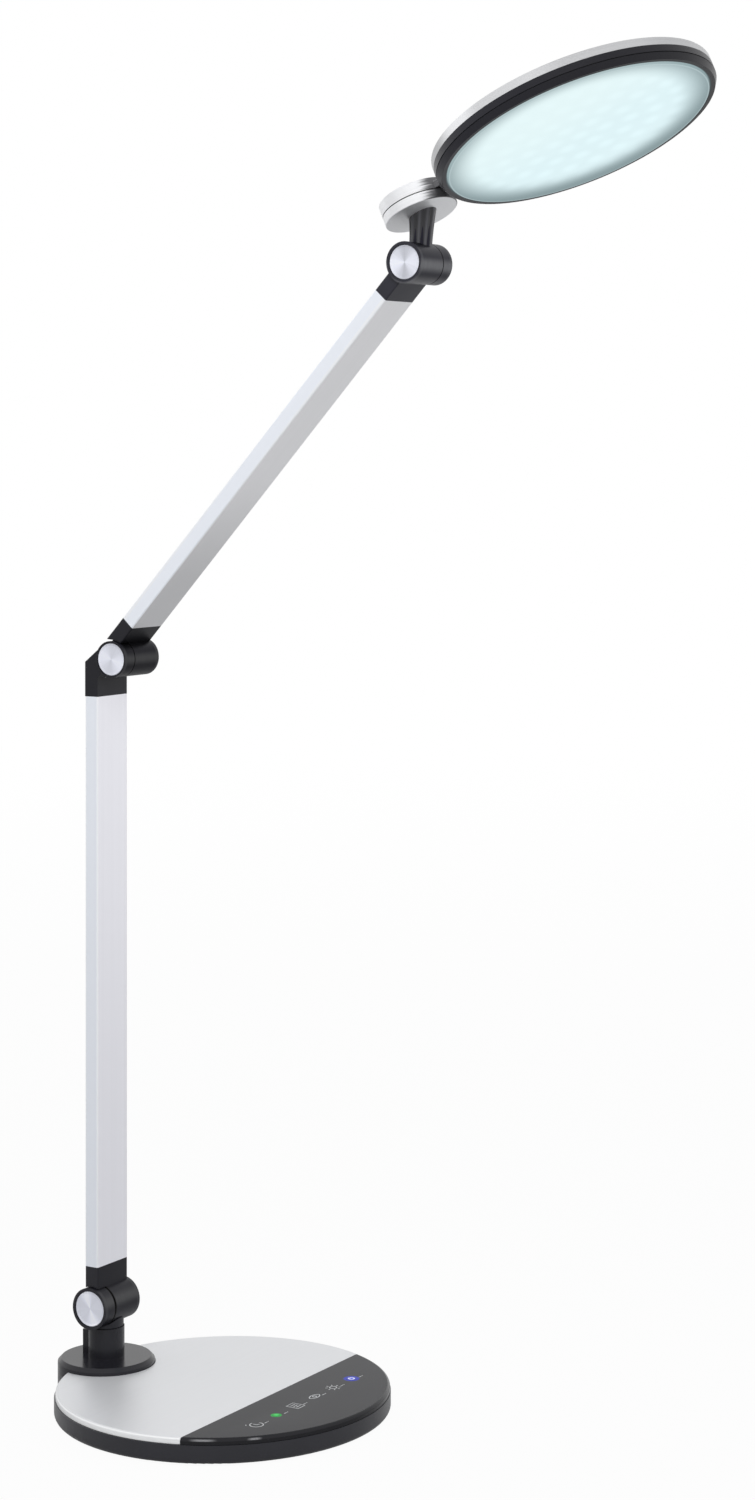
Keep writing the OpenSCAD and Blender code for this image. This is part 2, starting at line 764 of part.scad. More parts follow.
module upper_arm_foot() color("#303034") {
  at_upper() difference() {
    union() {
      bar_x(barrel_x, end_x, elbow_barrel_d);
      translate([0, upper_offset, 0]) {
        arm_block(0, upper_foot_len);
        spigot(upper_foot_len - past, upper_foot_len + spigot_len);
      }
    }
    bar_x(-tube_w, barrel_x, elbow_barrel_d + 2 * barrel_gap);
    web_room();
    long_cuts(elbow_barrel_d, elbow_cap_rim);
    translate([0, upper_offset, 0]) {
      bar_z(upper_foot_len - wire_in, upper_foot_len + spigot_len + past, wire_d + 2 * seat_fit);
    }
  }
}

module upper_arm_tube() color("gainsboro") {
  at_upper() translate([0, upper_offset, upper_foot_len]) arm_tube(upper_tube_len);
}

module upper_arm_head() color("#303034") {
  at_upper() translate([0, upper_offset, upper_len]) difference() {
    union() {
      mirror([1, 0, 0]) bar_x(-end_x, knuckle_x, head_barrel_d);
      arm_block(-upper_head_len, 0);
      spigot(-upper_head_len - spigot_len, past - upper_head_len);
    }
    mirror([1, 0, 0]) bar_x(knuckle_x, tube_w, head_barrel_d + 2 * barrel_gap);
    mirror([1, 0, 0]) short_cuts(head_barrel_d);
    bar_z(-upper_head_len - spigot_len - past, wire_in - upper_head_len, wire_d + 2 * seat_fit);
  }
}

module upper_arm_wire() color("#222222") {
  at_upper() translate([0, upper_offset, 0]) {
    bar_z(upper_foot_len - wire_in, upper_tube_end + wire_in, wire_d);
  }
}

module head_hinge_bolt() at_head_hinge() mirror([1, 0, 0]) hinge_bolt();
module head_hinge_washer() at_head_hinge() mirror([1, 0, 0]) hinge_washer(head_barrel_d);
module head_hinge_spring() at_head_hinge() mirror([1, 0, 0]) hinge_spring();
module head_hinge_nut() at_head_hinge() mirror([1, 0, 0]) hinge_nut();
module head_hinge_front_cap() at_head_hinge() hinge_cap(head_barrel_d);
module head_hinge_rear_cap() at_head_hinge() mirror([1, 0, 0]) hinge_cap(head_barrel_d);

module head_stem() color("#303034") {
  difference() {
    union() {
      at_head_hinge() mirror([1, 0, 0]) bar_x(barrel_x, end_x, head_barrel_d);
      intersection() {
        at_stem() bar_z(0, stem_len + stem_d, stem_d);
        at_disc() bar_z(-2 * stem_len, 0, 3 * stem_len);
      }
      at_disc() bar_z(-stem_foot_lip, stem_foot_t, stem_foot_d);
    }
    at_head_hinge() mirror([1, 0, 0]) long_cuts(head_barrel_d);
    at_stem_screws() bar_z(-stem_screw_end - seat_fit, flange_z, fine_screw_d + 2 * seat_fit);
  }
}

// Places of the screws that hold the disc to the stem's foot
module at_stem_screws() at_disc() for (x = [-1, 1]) translate([x * stem_screw_x, 0, 0]) children();

module swivel_disc() color("gainsboro") {
  at_disc() difference() {
    soft_disc(disc_d / 2, 0, disc_t, disc_edge, false);
    bar_z(-past, stem_foot_t, stem_foot_d + 2 * seat_fit);
    bar_z(flange_z, disc_t + past, swivel_flange_d + 2 * seat_fit);
    ring_z(disc_washer_z, disc_t + past, disc_washer_out + 2 * seat_fit, disc_washer_in - 2 * seat_fit);
    for (x = [-1, 1]) translate([x * stem_screw_x, 0, 0]) bar_z(0, disc_t, fine_screw_d + 2 * seat_fit);
  }
}

module swivel_bolt() color("silver") {
  at_disc() difference() {
    union() {
      bar_z(flange_z, flange_z + swivel_flange_t, swivel_flange_d);
      bar_z(flange_z, disc_nut_z + disc_nut_h, swivel_bolt_d);
    }
    bar_z(flange_z - past, bracket_top, wire_d + 2 * seat_fit);
    for (x = [-1, 1]) translate([x * stem_screw_x, 0, 0]) bar_z(0, disc_t, fine_screw_d + 2 * seat_fit);
  }
}

module stem_screws() color("silver") {
  head_under = flange_z + swivel_flange_t;
  at_stem_screws() mirror([0, 0, 1]) {
    screw_up(-head_under, head_under + stem_screw_end, fine_screw_d, fine_screw_head_d, fine_screw_head_h);
  }
}

module disc_washer() color("dimgray") {
  at_disc() ring_z(disc_washer_z, bracket_z, disc_washer_out, disc_washer_in);
}

module disc_spring() color("gray") {
  at_disc() ring_z(disc_pocket_z, disc_nut_z, disc_nut_d, swivel_bolt_d + 2 * seat_fit);
}

module disc_nut() color("silver") {
  at_disc() ring_z(disc_nut_z, disc_nut_z + disc_nut_h, disc_nut_d, swivel_bolt_d + 2 * run_fit);
}

module head_bracket() color("gainsboro") {
  at_disc() difference() {
    union() {
      soft_disc(disc_d / 2, bracket_z, bracket_top, disc_edge, true);
      translate([-tongue_w / 2, tongue_w / 2 - tongue_end, bracket_z]) {
        cube([tongue_w, tongue_end - tongue_w / 2, tongue_t]);
      }
      translate([0, tongue_w / 2 - tongue_end, 0]) bar_z(bracket_z, bracket_z + tongue_t, tongue_w);
    }
    bar_z(bracket_z - past, bracket_top, swivel_bolt_d + 2 * run_fit);
    bar_z(disc_pocket_z, bracket_top + past, disc_pocket_d);
    at_bracket_screws() bar_z(bracket_z - past, bracket_z + tongue_t - screw_skin, screw_d + 2 * seat_fit);
  }
}

// Places of the bracket's screws, in the swivel disc's frame
module at_bracket_screws() {
  for (x = [-1, 1], y = bracket_screw_y) translate([x * bracket_screw_x, -y, 0]) children();
}

module bracket_cap() color("gainsboro") {
  at_disc() bar_z(bracket_top - bracket_cap_t, bracket_top, disc_pocket_d - 2 * seat_fit);
}

module bracket_screws() color("silver") {
  len = back_t + tongue_t - screw_skin - seat_fit;
  at_disc() at_bracket_screws() screw_up(bracket_z - back_t, len, screw_d, screw_head_d, screw_head_h);
}

module back_cover() color("gainsboro") {
  difference() {
    at_head() difference() {
      soft_disc(head_r, -back_h, 0, back_edge, true);
      difference() {
        bar_z(-back_h - past, -back_t, 2 * (head_r - back_wall));
        at_board_screws() bar_z(-back_t - boss_h, 0, boss_d);
      }
      at_board_screws() bar_z(-back_t - boss_h - past, -back_t, fine_screw_d + 2 * seat_fit);
    }
    at_disc() at_bracket_screws() bar_z(bracket_z - back_h, bracket_z + past, screw_d + 2 * seat_fit);
  }
}

// Places of the LED board's screws, between two rings of chips
module at_board_screws() {
  for (turn = [0, 120, 240]) rotate([0, 0, turn]) translate(boss_at) children();
}

module bezel_ring() color("#242427") {
  out = head_r;
  spigot_r = head_r - back_wall - loose_fit;
  groove_z = -back_h - bezel_h / 2;
  inner_slope = bezel_slope / 2;
  at_head() rotate_extrude() {
    polygon([[spigot_r, -back_h], [out, -back_h], [out, groove_z],
      [out - bezel_groove, groove_z], [out - bezel_groove, groove_z - bezel_groove],
      [out, groove_z - bezel_groove], [out - bezel_slope, bezel_z],
      [lip_r + inner_slope, bezel_z], [lip_r, bezel_z + inner_slope],
      [lip_r, lip_z], [well_r, lip_z], [well_r, -back_t], [spigot_r, -back_t]]);
  }
}

module diffuser() color("lightcyan") at_head() bar_z(lip_z, lip_z + diffuser_t, 2 * diffuser_r);

module led_board() color("white") {
  at_head() difference() {
    bar_z(led_board_z, led_board_z + led_board_t, 2 * led_board_r);
    at_board_screws() {
      bar_z(led_board_z - past, led_board_z + led_board_t + past, fine_screw_d + 2 * seat_fit);
    }
  }
}

// LED chips under the board: one in the middle and rings round it
module led_chips() color("lemonchiffon") {
  at_head() for (ring = [0 : chip_rings], i = [1 : max(1, ring * ring_step)]) {
    turn = 360 / max(1, ring * ring_step) * i;
    rotate([0, 0, turn]) translate([ring * chip_pitch - chip_w / 2, -chip_w / 2, led_board_z - chip_h]) {
      cube([chip_w, chip_w, chip_h]);
    }
  }
}

module board_screws() color("silver") {
  len = led_board_t + boss_h - seat_fit;
  at_head() at_board_screws() {
    screw_up(led_board_z, len, fine_screw_d, fine_screw_head_d, fine_screw_head_h);
  }
}

base_pad();
bottom_cover();
base_weight();
base_housing();
top_cover();
control_panel();
touch_board();
charge_light();
power_light();
power_inlet();
base_screws();
pedestal();
pedestal_screws();
hinge_neck();
swivel_washer();
lock_washer();
swivel_nut();
lower_hinge_bolt();
lower_hinge_washer();
lower_hinge_spring();
lower_hinge_nut();
lower_hinge_front_cap();
lower_hinge_rear_cap();
lower_arm_foot();
lower_arm_tube();
lower_arm_head();
lower_arm_wire();
elbow_bolt();
elbow_washer();
elbow_spring();
elbow_nut();
elbow_front_cap();
elbow_rear_cap();
upper_arm_foot();
upper_arm_tube();
upper_arm_head();
upper_arm_wire();
head_hinge_bolt();
head_hinge_washer();
head_hinge_spring();
head_hinge_nut();
head_hinge_front_cap();
head_hinge_rear_cap();
head_stem();
swivel_disc();
swivel_bolt();
stem_screws();
disc_washer();
disc_spring();
disc_nut();
head_bracket();
bracket_cap();
bracket_screws();
back_cover();
bezel_ring();
diffuser();
led_board();
led_chips();
board_screws();
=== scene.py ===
"""LED desk lamp: fine surfaces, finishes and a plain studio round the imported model."""

import json
import math
from collections import namedtuple

import bmesh
import bpy
import numpy as np
from bpy.props import FloatProperty, FloatVectorProperty, IntProperty, PointerProperty
from mathutils import Matrix, Vector


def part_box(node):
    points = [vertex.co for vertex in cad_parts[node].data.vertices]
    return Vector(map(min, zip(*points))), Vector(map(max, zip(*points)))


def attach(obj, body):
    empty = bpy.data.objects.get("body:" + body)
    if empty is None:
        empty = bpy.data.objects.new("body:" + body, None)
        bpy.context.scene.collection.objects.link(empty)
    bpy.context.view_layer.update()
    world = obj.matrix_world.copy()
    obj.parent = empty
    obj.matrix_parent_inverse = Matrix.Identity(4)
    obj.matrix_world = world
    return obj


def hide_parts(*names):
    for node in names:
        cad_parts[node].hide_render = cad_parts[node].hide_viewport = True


bl_info = {
    "name": "LED Desk Lamp",
    "version": (1, 0, 0),
    "blender": (4, 5, 0),
    "location": "View3D > Sidebar > Desk Lamp",
    "description": "Dresses the packed desk lamp with its finishes and sets up its studio",
    "category": "Object",
}

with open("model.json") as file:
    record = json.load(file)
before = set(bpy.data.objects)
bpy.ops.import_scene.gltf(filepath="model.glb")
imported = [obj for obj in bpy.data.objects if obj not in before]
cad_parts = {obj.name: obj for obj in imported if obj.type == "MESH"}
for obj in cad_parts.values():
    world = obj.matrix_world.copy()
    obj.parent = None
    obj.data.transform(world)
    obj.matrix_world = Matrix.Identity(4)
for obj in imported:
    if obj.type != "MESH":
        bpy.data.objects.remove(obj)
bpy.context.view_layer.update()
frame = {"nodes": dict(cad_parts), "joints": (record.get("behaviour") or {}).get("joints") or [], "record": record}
NODES = frame["nodes"]
JOINTS = {joint["name"]: joint for joint in frame["joints"]}
BODY = {node: body for body, nodes in frame["record"]["behaviour"]["bodies"].items() for node in nodes}
SLOT = {part["node"]: part["material_slot"] for part in frame["record"]["subparts"]}
MM = 0.001
# Distances in metres within which points count as one, in new surfaces and in copies of CAD nodes.
WELD = 1e-7
CAD_WELD = 1e-6
# Angles from which edges are sharp, in the same two, and by which joined flat faces may differ.
SHARP = math.radians(35)
CAD_SHARP = math.radians(28)
FLAT = math.radians(0.4)
# Steps of an edge's round, and the most of a profile's side that one round may use.
BEVEL_STEPS = 3
ARC_SHARE = 0.48


# Local frames


def placed(origin, z_axis, x_axis):
    """4x4 of a local frame, from its origin, its z axis and the direction nearest its x axis."""
    z = Vector(z_axis).normalized()
    y = z.cross(Vector(x_axis)).normalized()
    turn = Matrix((y.cross(z), y, z)).transposed().to_4x4()
    turn.translation = Vector(origin)
    return turn


def middle(node):
    """Middle of a CAD node's box."""
    low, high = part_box(node)
    return (low + high) / 2


def half_width(node):
    """Half a CAD node's length along x."""
    low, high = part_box(node)
    return (high.x - low.x) / 2


def half_height(node):
    """Half a CAD node's length along z."""
    low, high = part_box(node)
    return (high.z - low.z) / 2


DISC_AXIS = Vector(JOINTS["head_swivel"]["axis"])
DISC = placed(JOINTS["head_swivel"]["pos_m"], DISC_AXIS, (1, 0, 0))
DIFFUSER = placed(middle("diffuser"), DISC_AXIS, (1, 0, 0))
HEAD_HINGE = Vector(JOINTS["head_pitch"]["pos_m"])
LOWER_ARM = Matrix.Translation(middle("lower_arm_tube"))
ARM_DIRECTION = middle("upper_arm_head") - middle("upper_arm_foot")
UPPER_ARM = placed(middle("upper_arm_tube"), (0, ARM_DIRECTION.y, ARM_DIRECTION.z), (1, 0, 0))
STEM = placed(HEAD_HINGE, DISC.translation - HEAD_HINGE, (1, 0, 0))
HINGES = {
    "lower_hinge": Vector(JOINTS["lower_hinge"]["pos_m"]),
    "elbow": Vector(JOINTS["elbow"]["pos_m"]),
    "head_hinge": HEAD_HINGE,
}
BASE_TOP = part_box("control_panel")[1].z
# Radius of the swivel discs, and height of the bracket tongue's top over the swivel's origin.
DISC_RADIUS = 21.75 * MM
TONGUE_TOP = 11.2 * MM
# Black wall round the caps of the lower two hinges and of the head's, and how far from a hinge's middle along x
# its barrel's painted shade reaches.
CAP_WALL = 2 * MM
HEAD_CAP_WALL = 2.4 * MM
PAINTED_SHADE_END = 14.3 * MM
# Lip of the bezel under the diffuser's edge, and half the thickness of the diffuser's flange.
LIP = 1.9 * MM
FLANGE_HALF = 1.0 * MM
# Turns round the base of the two painted highlights on the panel's front edge.
GLEAMS = (math.radians(-151.5), math.radians(-134.5))
# The camera fitted to the photograph, and the plan direction that it shows as right.
SENSOR_WIDTH = 36
CAMERA_SHIFT = (-0.0607, -0.20622)
CAMERA_PLACE = (-1.494012, -1.054706, 0.578677)
CAMERA_TURN = (math.pi / 2, 0, -1.0362)
PICTURE_RIGHT = (0.509, -0.861)
# Painted shade in the groove round a hinge's barrel.
Groove = namedtuple("Groove", "centre radius half_width")
# Painted light on a barrel: the height of its painted highlight band as a share of the radius, the band's
# strength, that of one at the foot, and the strength of the painted shade on the rest.
Barrel = namedtuple("Barrel", "centre radius peak band foot matt")


# Surfaces


def rounded(corners, steps=6):
    """Profile through corners (r, z, radius): each becomes an arc of that radius, tangent to both sides."""
    points = np.array([corner[:2] for corner in corners], float)
    rows = [points[:1]]
    for before, here, after, corner in zip(points, points[1:], points[2:], corners[1:]):
        back, ahead = before - here, after - here
        back_length, ahead_length = np.linalg.norm(back), np.linalg.norm(ahead)
        back, ahead = back / back_length, ahead / ahead_length
        half = math.acos(np.clip(back @ ahead, -1, 1)) / 2
        cut = min(corner[2] / math.tan(half), ARC_SHARE * back_length, ARC_SHARE * ahead_length)
        if cut < WELD:
            rows.append(here[None])
            continue
        radius = cut * math.tan(half)
        centre = here + (back + ahead) / np.linalg.norm(back + ahead) * radius / math.sin(half)
        sweep = math.pi - 2 * half
        share = np.linspace(0, 1, steps + 1)[:, None]
        first, last = here + back * cut - centre, here + ahead * cut - centre
        arc = (np.sin((1 - share) * sweep) * first + np.sin(share * sweep) * last) / math.sin(sweep)
        rows.append(centre + arc)
    rows.append(points[-1:])
    return np.vstack(rows)


def grid(points, wrap_u=False, wrap_v=False):
    """Shell over a grid of points: cell (i, j) joins rows i, i+1 and columns j, j+1. A wrapped side closes on
    itself."""
    rows, columns = points.shape[:2]
    index = np.arange(rows * columns).reshape(rows, columns)
    if wrap_u:
        index = np.vstack([index, index[:1]])
    if wrap_v:
        index = np.hstack([index, index[:, :1]])
    faces = np.stack([index[:-1, :-1], index[1:, :-1], index[1:, 1:], index[:-1, 1:]], -1)
    return points.reshape(-1, 3), faces.reshape(-1, 4)


def moved(points, place):
    """Points of a local frame in the lamp's frame: turned by the frame's axes, then shifted by its origin."""
    matrix = np.array(place)
    return points @ matrix[:3, :3].T + matrix[:3, 3]


def lathe(profile, place, turns=160):
    """Shell of revolution: point (r, z) of the profile goes to (r cos t, r sin t, z) for each turn t round
    the local z axis."""
    r, z = np.asarray(profile, float).T[:, :, None]
    t = np.linspace(0, 2 * math.pi, turns, endpoint=False)
    points = np.stack([r * np.cos(t), r * np.sin(t), z + 0 * t], -1)
    return grid(moved(points, place), wrap_v=True)


def stroke(path, width, height, closed=False):
    """Flat printed line: a thin rectangle carried along a plan path, half its width to each side of it."""
    path = np.asarray(path, float)
    if closed:
        along = np.roll(path, -1, 0) - np.roll(path, 1, 0)
    else:
        along = np.gradient(path, axis=0)
    along /= np.linalg.norm(along, axis=1, keepdims=True)
    side = np.stack([-along[:, 1], along[:, 0]], 1) * width / 2
    left, right = path + side, path - side
    low, high = np.full(len(path), height[0]), np.full(len(path), height[1])
    corners = ((left, low), (right, low), (right, high), (left, high))
    points = np.stack([np.column_stack([edge, z]) for edge, z in corners], 1)
    if not closed:
        ends = points.mean(1, keepdims=True).repeat(4, 1)
        points = np.concatenate([ends[:1], points, ends[-1:]])
    return grid(points, wrap_u=closed, wrap_v=True)


def arc(centre, radius, start, end, steps=24):
    """Plan arc of a circle: centre plus radius times cosine and sine, from start to end in degrees."""
    turn = np.radians(np.linspace(start, end, steps))
    return np.stack([centre[0] + radius * np.cos(turn), centre[1] + radius * np.sin(turn)], 1)


def closed_mesh(mesh):
    """Welds a mesh's doubles, points its faces outwards and shades it smooth up to sharp edges."""
    shape = bmesh.new()
    shape.from_mesh(mesh)
    bmesh.ops.remove_doubles(shape, verts=shape.verts, dist=WELD)
    bmesh.ops.dissolve_degenerate(shape, edges=shape.edges, dist=0.1 * WELD)
    bmesh.ops.recalc_face_normals(shape, faces=shape.faces)
    shape.to_mesh(mesh)
    shape.free()
    mesh.shade_smooth()
    mesh.set_sharp_from_angle(angle=SHARP)


def shown(name, mesh, finish, nodes, body=None):
    """Adds a mesh as a piece that rides on its body and stands for the CAD nodes named."""
    mesh.materials.clear()
    mesh.materials.append(finish)
    piece = bpy.data.objects.new(name, mesh)
    bpy.context.scene.collection.objects.link(piece)
    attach(piece, body or BODY[nodes[0]])
    if nodes:
        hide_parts(*nodes)
    return piece


def piece(name, shells, finish, *nodes, body=None):
    """One piece from several shells, whose faces are renumbered one after the other."""
    counts = np.cumsum([0] + [len(points) for points, _ in shells])
    points = np.vstack([points for points, _ in shells])
    faces = np.vstack([faces + count for (_, faces), count in zip(shells, counts)])
    mesh = bpy.data.meshes.new(name)
    mesh.from_pydata(points.tolist(), [], faces.tolist())
    closed_mesh(mesh)
    return shown(name, mesh, finish, nodes, body)


def softened(node, finish, width, below=None):
    """Merged copy of a CAD node whose flat triangles are joined and whose sharp edges get a small round. Only
    the part below a plane, given by its point and normal, can be kept."""
    mesh = NODES[node].data.copy()
    shape = bmesh.new()
    shape.from_mesh(mesh)
    bmesh.ops.remove_doubles(shape, verts=shape.verts, dist=CAD_WELD)
    bmesh.ops.dissolve_limit(shape, angle_limit=FLAT, verts=shape.verts, edges=shape.edges)
    if below is not None:
        every = shape.verts[:] + shape.edges[:] + shape.faces[:]
        bmesh.ops.bisect_plane(shape, geom=every, plane_co=below[0], plane_no=below[1], clear_outer=True)
        bmesh.ops.holes_fill(shape, edges=[edge for edge in shape.edges if edge.is_boundary])
    shape.to_mesh(mesh)
    shape.free()
    for name in [layer.name for layer in mesh.attributes if layer.name == "custom_normal"]:
        mesh.attributes.remove(mesh.attributes[name])
    mesh.shade_smooth()
    mesh.set_sharp_from_angle(angle=CAD_SHARP)
    made = shown(node + "_soft", mesh, finish, (node,))
    edge = made.modifiers.new("soft edges", "BEVEL")
    edge.width = width
    edge.segments = BEVEL_STEPS
    edge.limit_method = "ANGLE"
    edge.angle_limit = CAD_SHARP
    edge.harden_normals = True
    return made


def dress(finish, *nodes):
    """Gives CAD nodes that keep their shape a finish."""
    for node in nodes:
        NODES[node].data.materials.clear()
        NODES[node].data.materials.append(finish)


# Finishes


def operation(kind, swapped=False):
    """Method that adds a Math node of a kind: its terms are the value and any other, or the reverse."""

    def method(self, *others):
        terms = (*others, self) if swapped else (self, *others)
        return self.finish.add("ShaderNodeMath", {"operation": kind}, dict(enumerate(terms)))

    return method


class Value:
    """A shader value: wraps an output socket, and its operators add Math nodes to its finish."""

    def __init__(self, finish, socket):
        self.finish = finish
        self.socket = socket

    __add__ = __radd__ = operation("ADD")
    __mul__ = __rmul__ = operation("MULTIPLY")
    __sub__ = operation("SUBTRACT")
    __rsub__ = operation("SUBTRACT", swapped=True)
    __truediv__ = operation("DIVIDE")
    __pow__ = operation("POWER")
    __abs__ = operation("ABSOLUTE")
    least = operation("MINIMUM")
    most = operation("MAXIMUM")
    rounded = operation("ROUND")
    cosine = operation("COSINE")
    arctan2 = operation("ARCTAN2")


class Finish:
    """A procedural material, or a world, that is put together from expressions."""

    def __init__(self, name, library=None):
        library = bpy.data.materials if library is None else library
        self.material = library.new(name)
        self.material.use_nodes = True
        self.tree = self.material.node_tree
        self.tree.nodes.clear()

    def add(self, kind, settings=None, values=None, out=0):
        """Adds a node of any kind: its settings, then its sockets' values or links. Gives one output."""
        node = self.tree.nodes.new(kind)
        for key, setting in (settings or {}).items():
            setattr(node, key, setting)
        for key, value in (values or {}).items():
            if isinstance(value, Value):
                self.tree.links.new(value.socket, node.inputs[key])
            else:
                node.inputs[key].default_value = value
        return Value(self, node.outputs[out])

    def local(self, place=None):
        """Object coordinates, or those of a local frame, whose place and turn a Mapping undoes."""
        at = self.add("ShaderNodeTexCoord", out="Object")
        if place is None:
            return at
        values = {"Vector": at, "Location": place.translation, "Rotation": place.to_euler()}
        return self.add("ShaderNodeMapping", {"vector_type": "TEXTURE"}, values)

    def about(self, centre):
        """Object coordinates x, y and z from a point."""
        return self.split(self.local(Matrix.Translation(centre)))

    def split(self, vector):
        """The x, y and z of a vector."""
        x = self.add("ShaderNodeSeparateXYZ", values={"Vector": vector})
        return [Value(self, socket) for socket in x.socket.node.outputs]

    def joined(self, x, y, z):
        """A vector from its x, y and z."""
        return self.add("ShaderNodeCombineXYZ", values={"X": x, "Y": y, "Z": z})

    def noise(self, vector, scale, detail=2.0):
        """Noise with its own scale along each axis, from 0 to 1."""
        scaled = self.add("ShaderNodeVectorMath", {"operation": "MULTIPLY"}, {0: vector, 1: scale})
        return self.add("ShaderNodeTexNoise", values={"Vector": scaled, "Scale": 1.0, "Detail": detail})

    def blend(self, share, first, second):
        """Colour from first, at share 0, to second, at share 1."""
        settings = {"data_type": "RGBA", "clamp_factor": True}
        return self.add("ShaderNodeMix", settings, {0: share, 6: first, 7: second}, out=2)

    def rise(self, value, low, high):
        """Smooth step from 0 at low to 1 at high."""
        settings = {"interpolation_type": "SMOOTHSTEP"}
        return self.add("ShaderNodeMapRange", settings, {"Value": value, "From Min": low, "From Max": high})

    def bump(self, height, distance, strength):
        """Normal of a relief that is distance metres deep."""
        values = {"Height": height, "Distance": distance, "Strength": strength}
        return self.add("ShaderNodeBump", values=values)

    def done(self, **values):
        """Ends the finish in a Principled surface; a name's underscores stand for spaces."""
        named = {key.replace("_", " "): value for key, value in values.items()}
        surface = self.add("ShaderNodeBsdfPrincipled", values=named)
        self.add_output(surface)
        return self.material

    def add_output(self, surface, kind="ShaderNodeOutputMaterial"):
        """Links the surface to the tree's output."""
        output = self.tree.nodes.new(kind)
        self.tree.links.new(surface.socket, output.inputs["Surface"])


def shade(colour, factor):
    """A colour times a factor, with alpha 1."""
    return (*[channel * factor for channel in tuple(colour)[:3]], 1.0)


def moulded(name, colour, rough, grain=0.02, shine=0.25, groove=None, barrel=None, lit=None):
    """Moulded plastic: slow clouds in colour and gloss and a fine spark-eroded grain. It can have painted shade in
    a groove across the x axis, a painted highlight band along a barrel round that axis with painted shade on the
    rest of the barrel, and a painted glow at an inner edge, which is given by its radius and the light's colour,
    with the moulding painted lighter on one side and darker on the other."""
    finish = Finish(name)
    at = finish.local()
    cloud = finish.noise(at, (45,) * 3)
    fine = finish.noise(at, (2200,) * 3, 3)
    base = finish.blend(cloud, shade(colour, 0.8), shade(colour, 1.25))
    gloss = rough - 0.07 + 0.1 * cloud + 0.05 * fine
    normal = finish.bump(fine, grain * MM, 0.5)
    dark = 0.0
    if groove is not None:
        # Painted shade in the slit between the knuckles, fading out along x and past the barrel's radius.
        x, y, z = finish.about(groove.centre)
        dark = 1 - finish.rise(abs(x), groove.half_width, 3 * groove.half_width)
        dark = dark * (1 - finish.rise((y * y + z * z) ** 0.5, groove.radius, groove.radius + 0.3 * MM))
        base = finish.blend(dark, base, (0.004, 0.004, 0.004, 1))
    if barrel is not None:
        # Painted highlight: a pale band along the barrel's wall at a given height, and one at its foot. Painted
        # shade: the rest of the barrel, and what stands above its axis, is darkened through metal.
        x, y, z = finish.about(barrel.centre)
        far = (y * y + z * z) ** 0.5
        up = z / far.most(1 * MM)
        lines = finish.noise(finish.joined(x, y * 0.02, z * 0.02), (1500,) * 3, 2)
        front = 1 - finish.rise(abs(up - barrel.peak), 0.02, 0.45)
        front = front.most(barrel.foot * (1 - finish.rise(up, -0.95, -0.6)))
        inside = 1 - finish.rise(far, barrel.radius + 0.1 * MM, barrel.radius + 0.6 * MM)
        wall = inside * finish.rise(far, barrel.radius - 1.3 * MM, barrel.radius - 0.9 * MM)
        front = front * wall * (1 - dark) * (0.7 + 0.6 * lines)
        pale = shade((colour[0], colour[0], 1.08 * colour[0]), barrel.band)
        base = finish.blend(front, base, pale)
        between = 1 - finish.rise(abs(x), PAINTED_SHADE_END, PAINTED_SHADE_END + 0.5 * MM)
        under = inside.most(finish.rise(z, 0.0, 3 * MM)) * between
        dark = (barrel.matt * under * (1 - front)).most(dark)
    glow = (0.0, 0.0, 0.0, 1)
    if lit is not None:
        # Painted light: lighter on the bezel's +y side and darker on its -y side, with a painted glow and a thin
        # painted line of the diffuser's light at the inner edge.
        reach, light = lit
        x, y, _ = finish.split(finish.local(DIFFUSER))
        side = finish.rise(y, -0.8 * reach, 0.8 * reach)
        base = finish.blend(side, shade(colour, 0.7), shade(colour, 1.5))
        far = (x * x + y * y) ** 0.5
        edge = 1 - finish.rise(far, reach + 0.3 * MM, reach + 1.8 * MM)
        glow = finish.blend(edge, glow, shade(light, 0.13))
        line = 1 - finish.rise(far, reach + 0.6 * MM, reach + 1.0 * MM)
        glow = finish.blend(line, glow, shade(light, 0.2))
    return finish.done(
        Base_Color=base, Metallic=dark, Roughness=gloss, Specular_IOR_Level=shine, Normal=normal,
        Emission_Color=glow, Emission_Strength=1.0,
    )


def hinge_black(name, hinge, tone, rough, shine, wall, slit, **satin):
    """Black of a hinge whose barrel has a wall round its caps: painted shade in the slit at its washer, and a
    painted highlight band with painted shade on the rest of the barrel.
    """
    radius = half_height(hinge + "_front_cap") + wall
    groove = Groove(middle(hinge + "_washer"), radius, slit)
    barrel = Barrel(HINGES[hinge], radius, **satin)
    return moulded(name, tone, rough, shine=shine, groove=groove, barrel=barrel)


def brushed(name, colour, scale, metal=0.8, rough=0.36, rim=None):
    """Brushed metal: noise drawn out along the brush strokes, in colour, gloss and relief. A round rim of a
    given radius can get a painted highlight."""
    finish = Finish(name)
    at = finish.local()
    lines = finish.noise(at, scale, 3)
    bands = finish.noise(at, tuple(0.16 * s for s in scale), 2)
    share = 0.65 * lines + 0.35 * bands
    base = finish.blend(share, shade(colour, 0.95), shade(colour, 1.04))
    if rim is not None:
        # Painted highlight: the rim is blended to near white.
        x, y, _ = finish.split(at)
        painted_highlight = finish.rise((x * x + y * y) ** 0.5, rim - 0.7 * MM, rim - 0.3 * MM)
        base = finish.blend(painted_highlight, base, (0.98, 0.985, 0.99, 1))
    gloss = rough - 0.06 + 0.12 * share
    normal = finish.bump(lines, 0.004 * MM, 0.6)
    return finish.done(Base_Color=base, Metallic=metal, Roughness=gloss, Normal=normal)


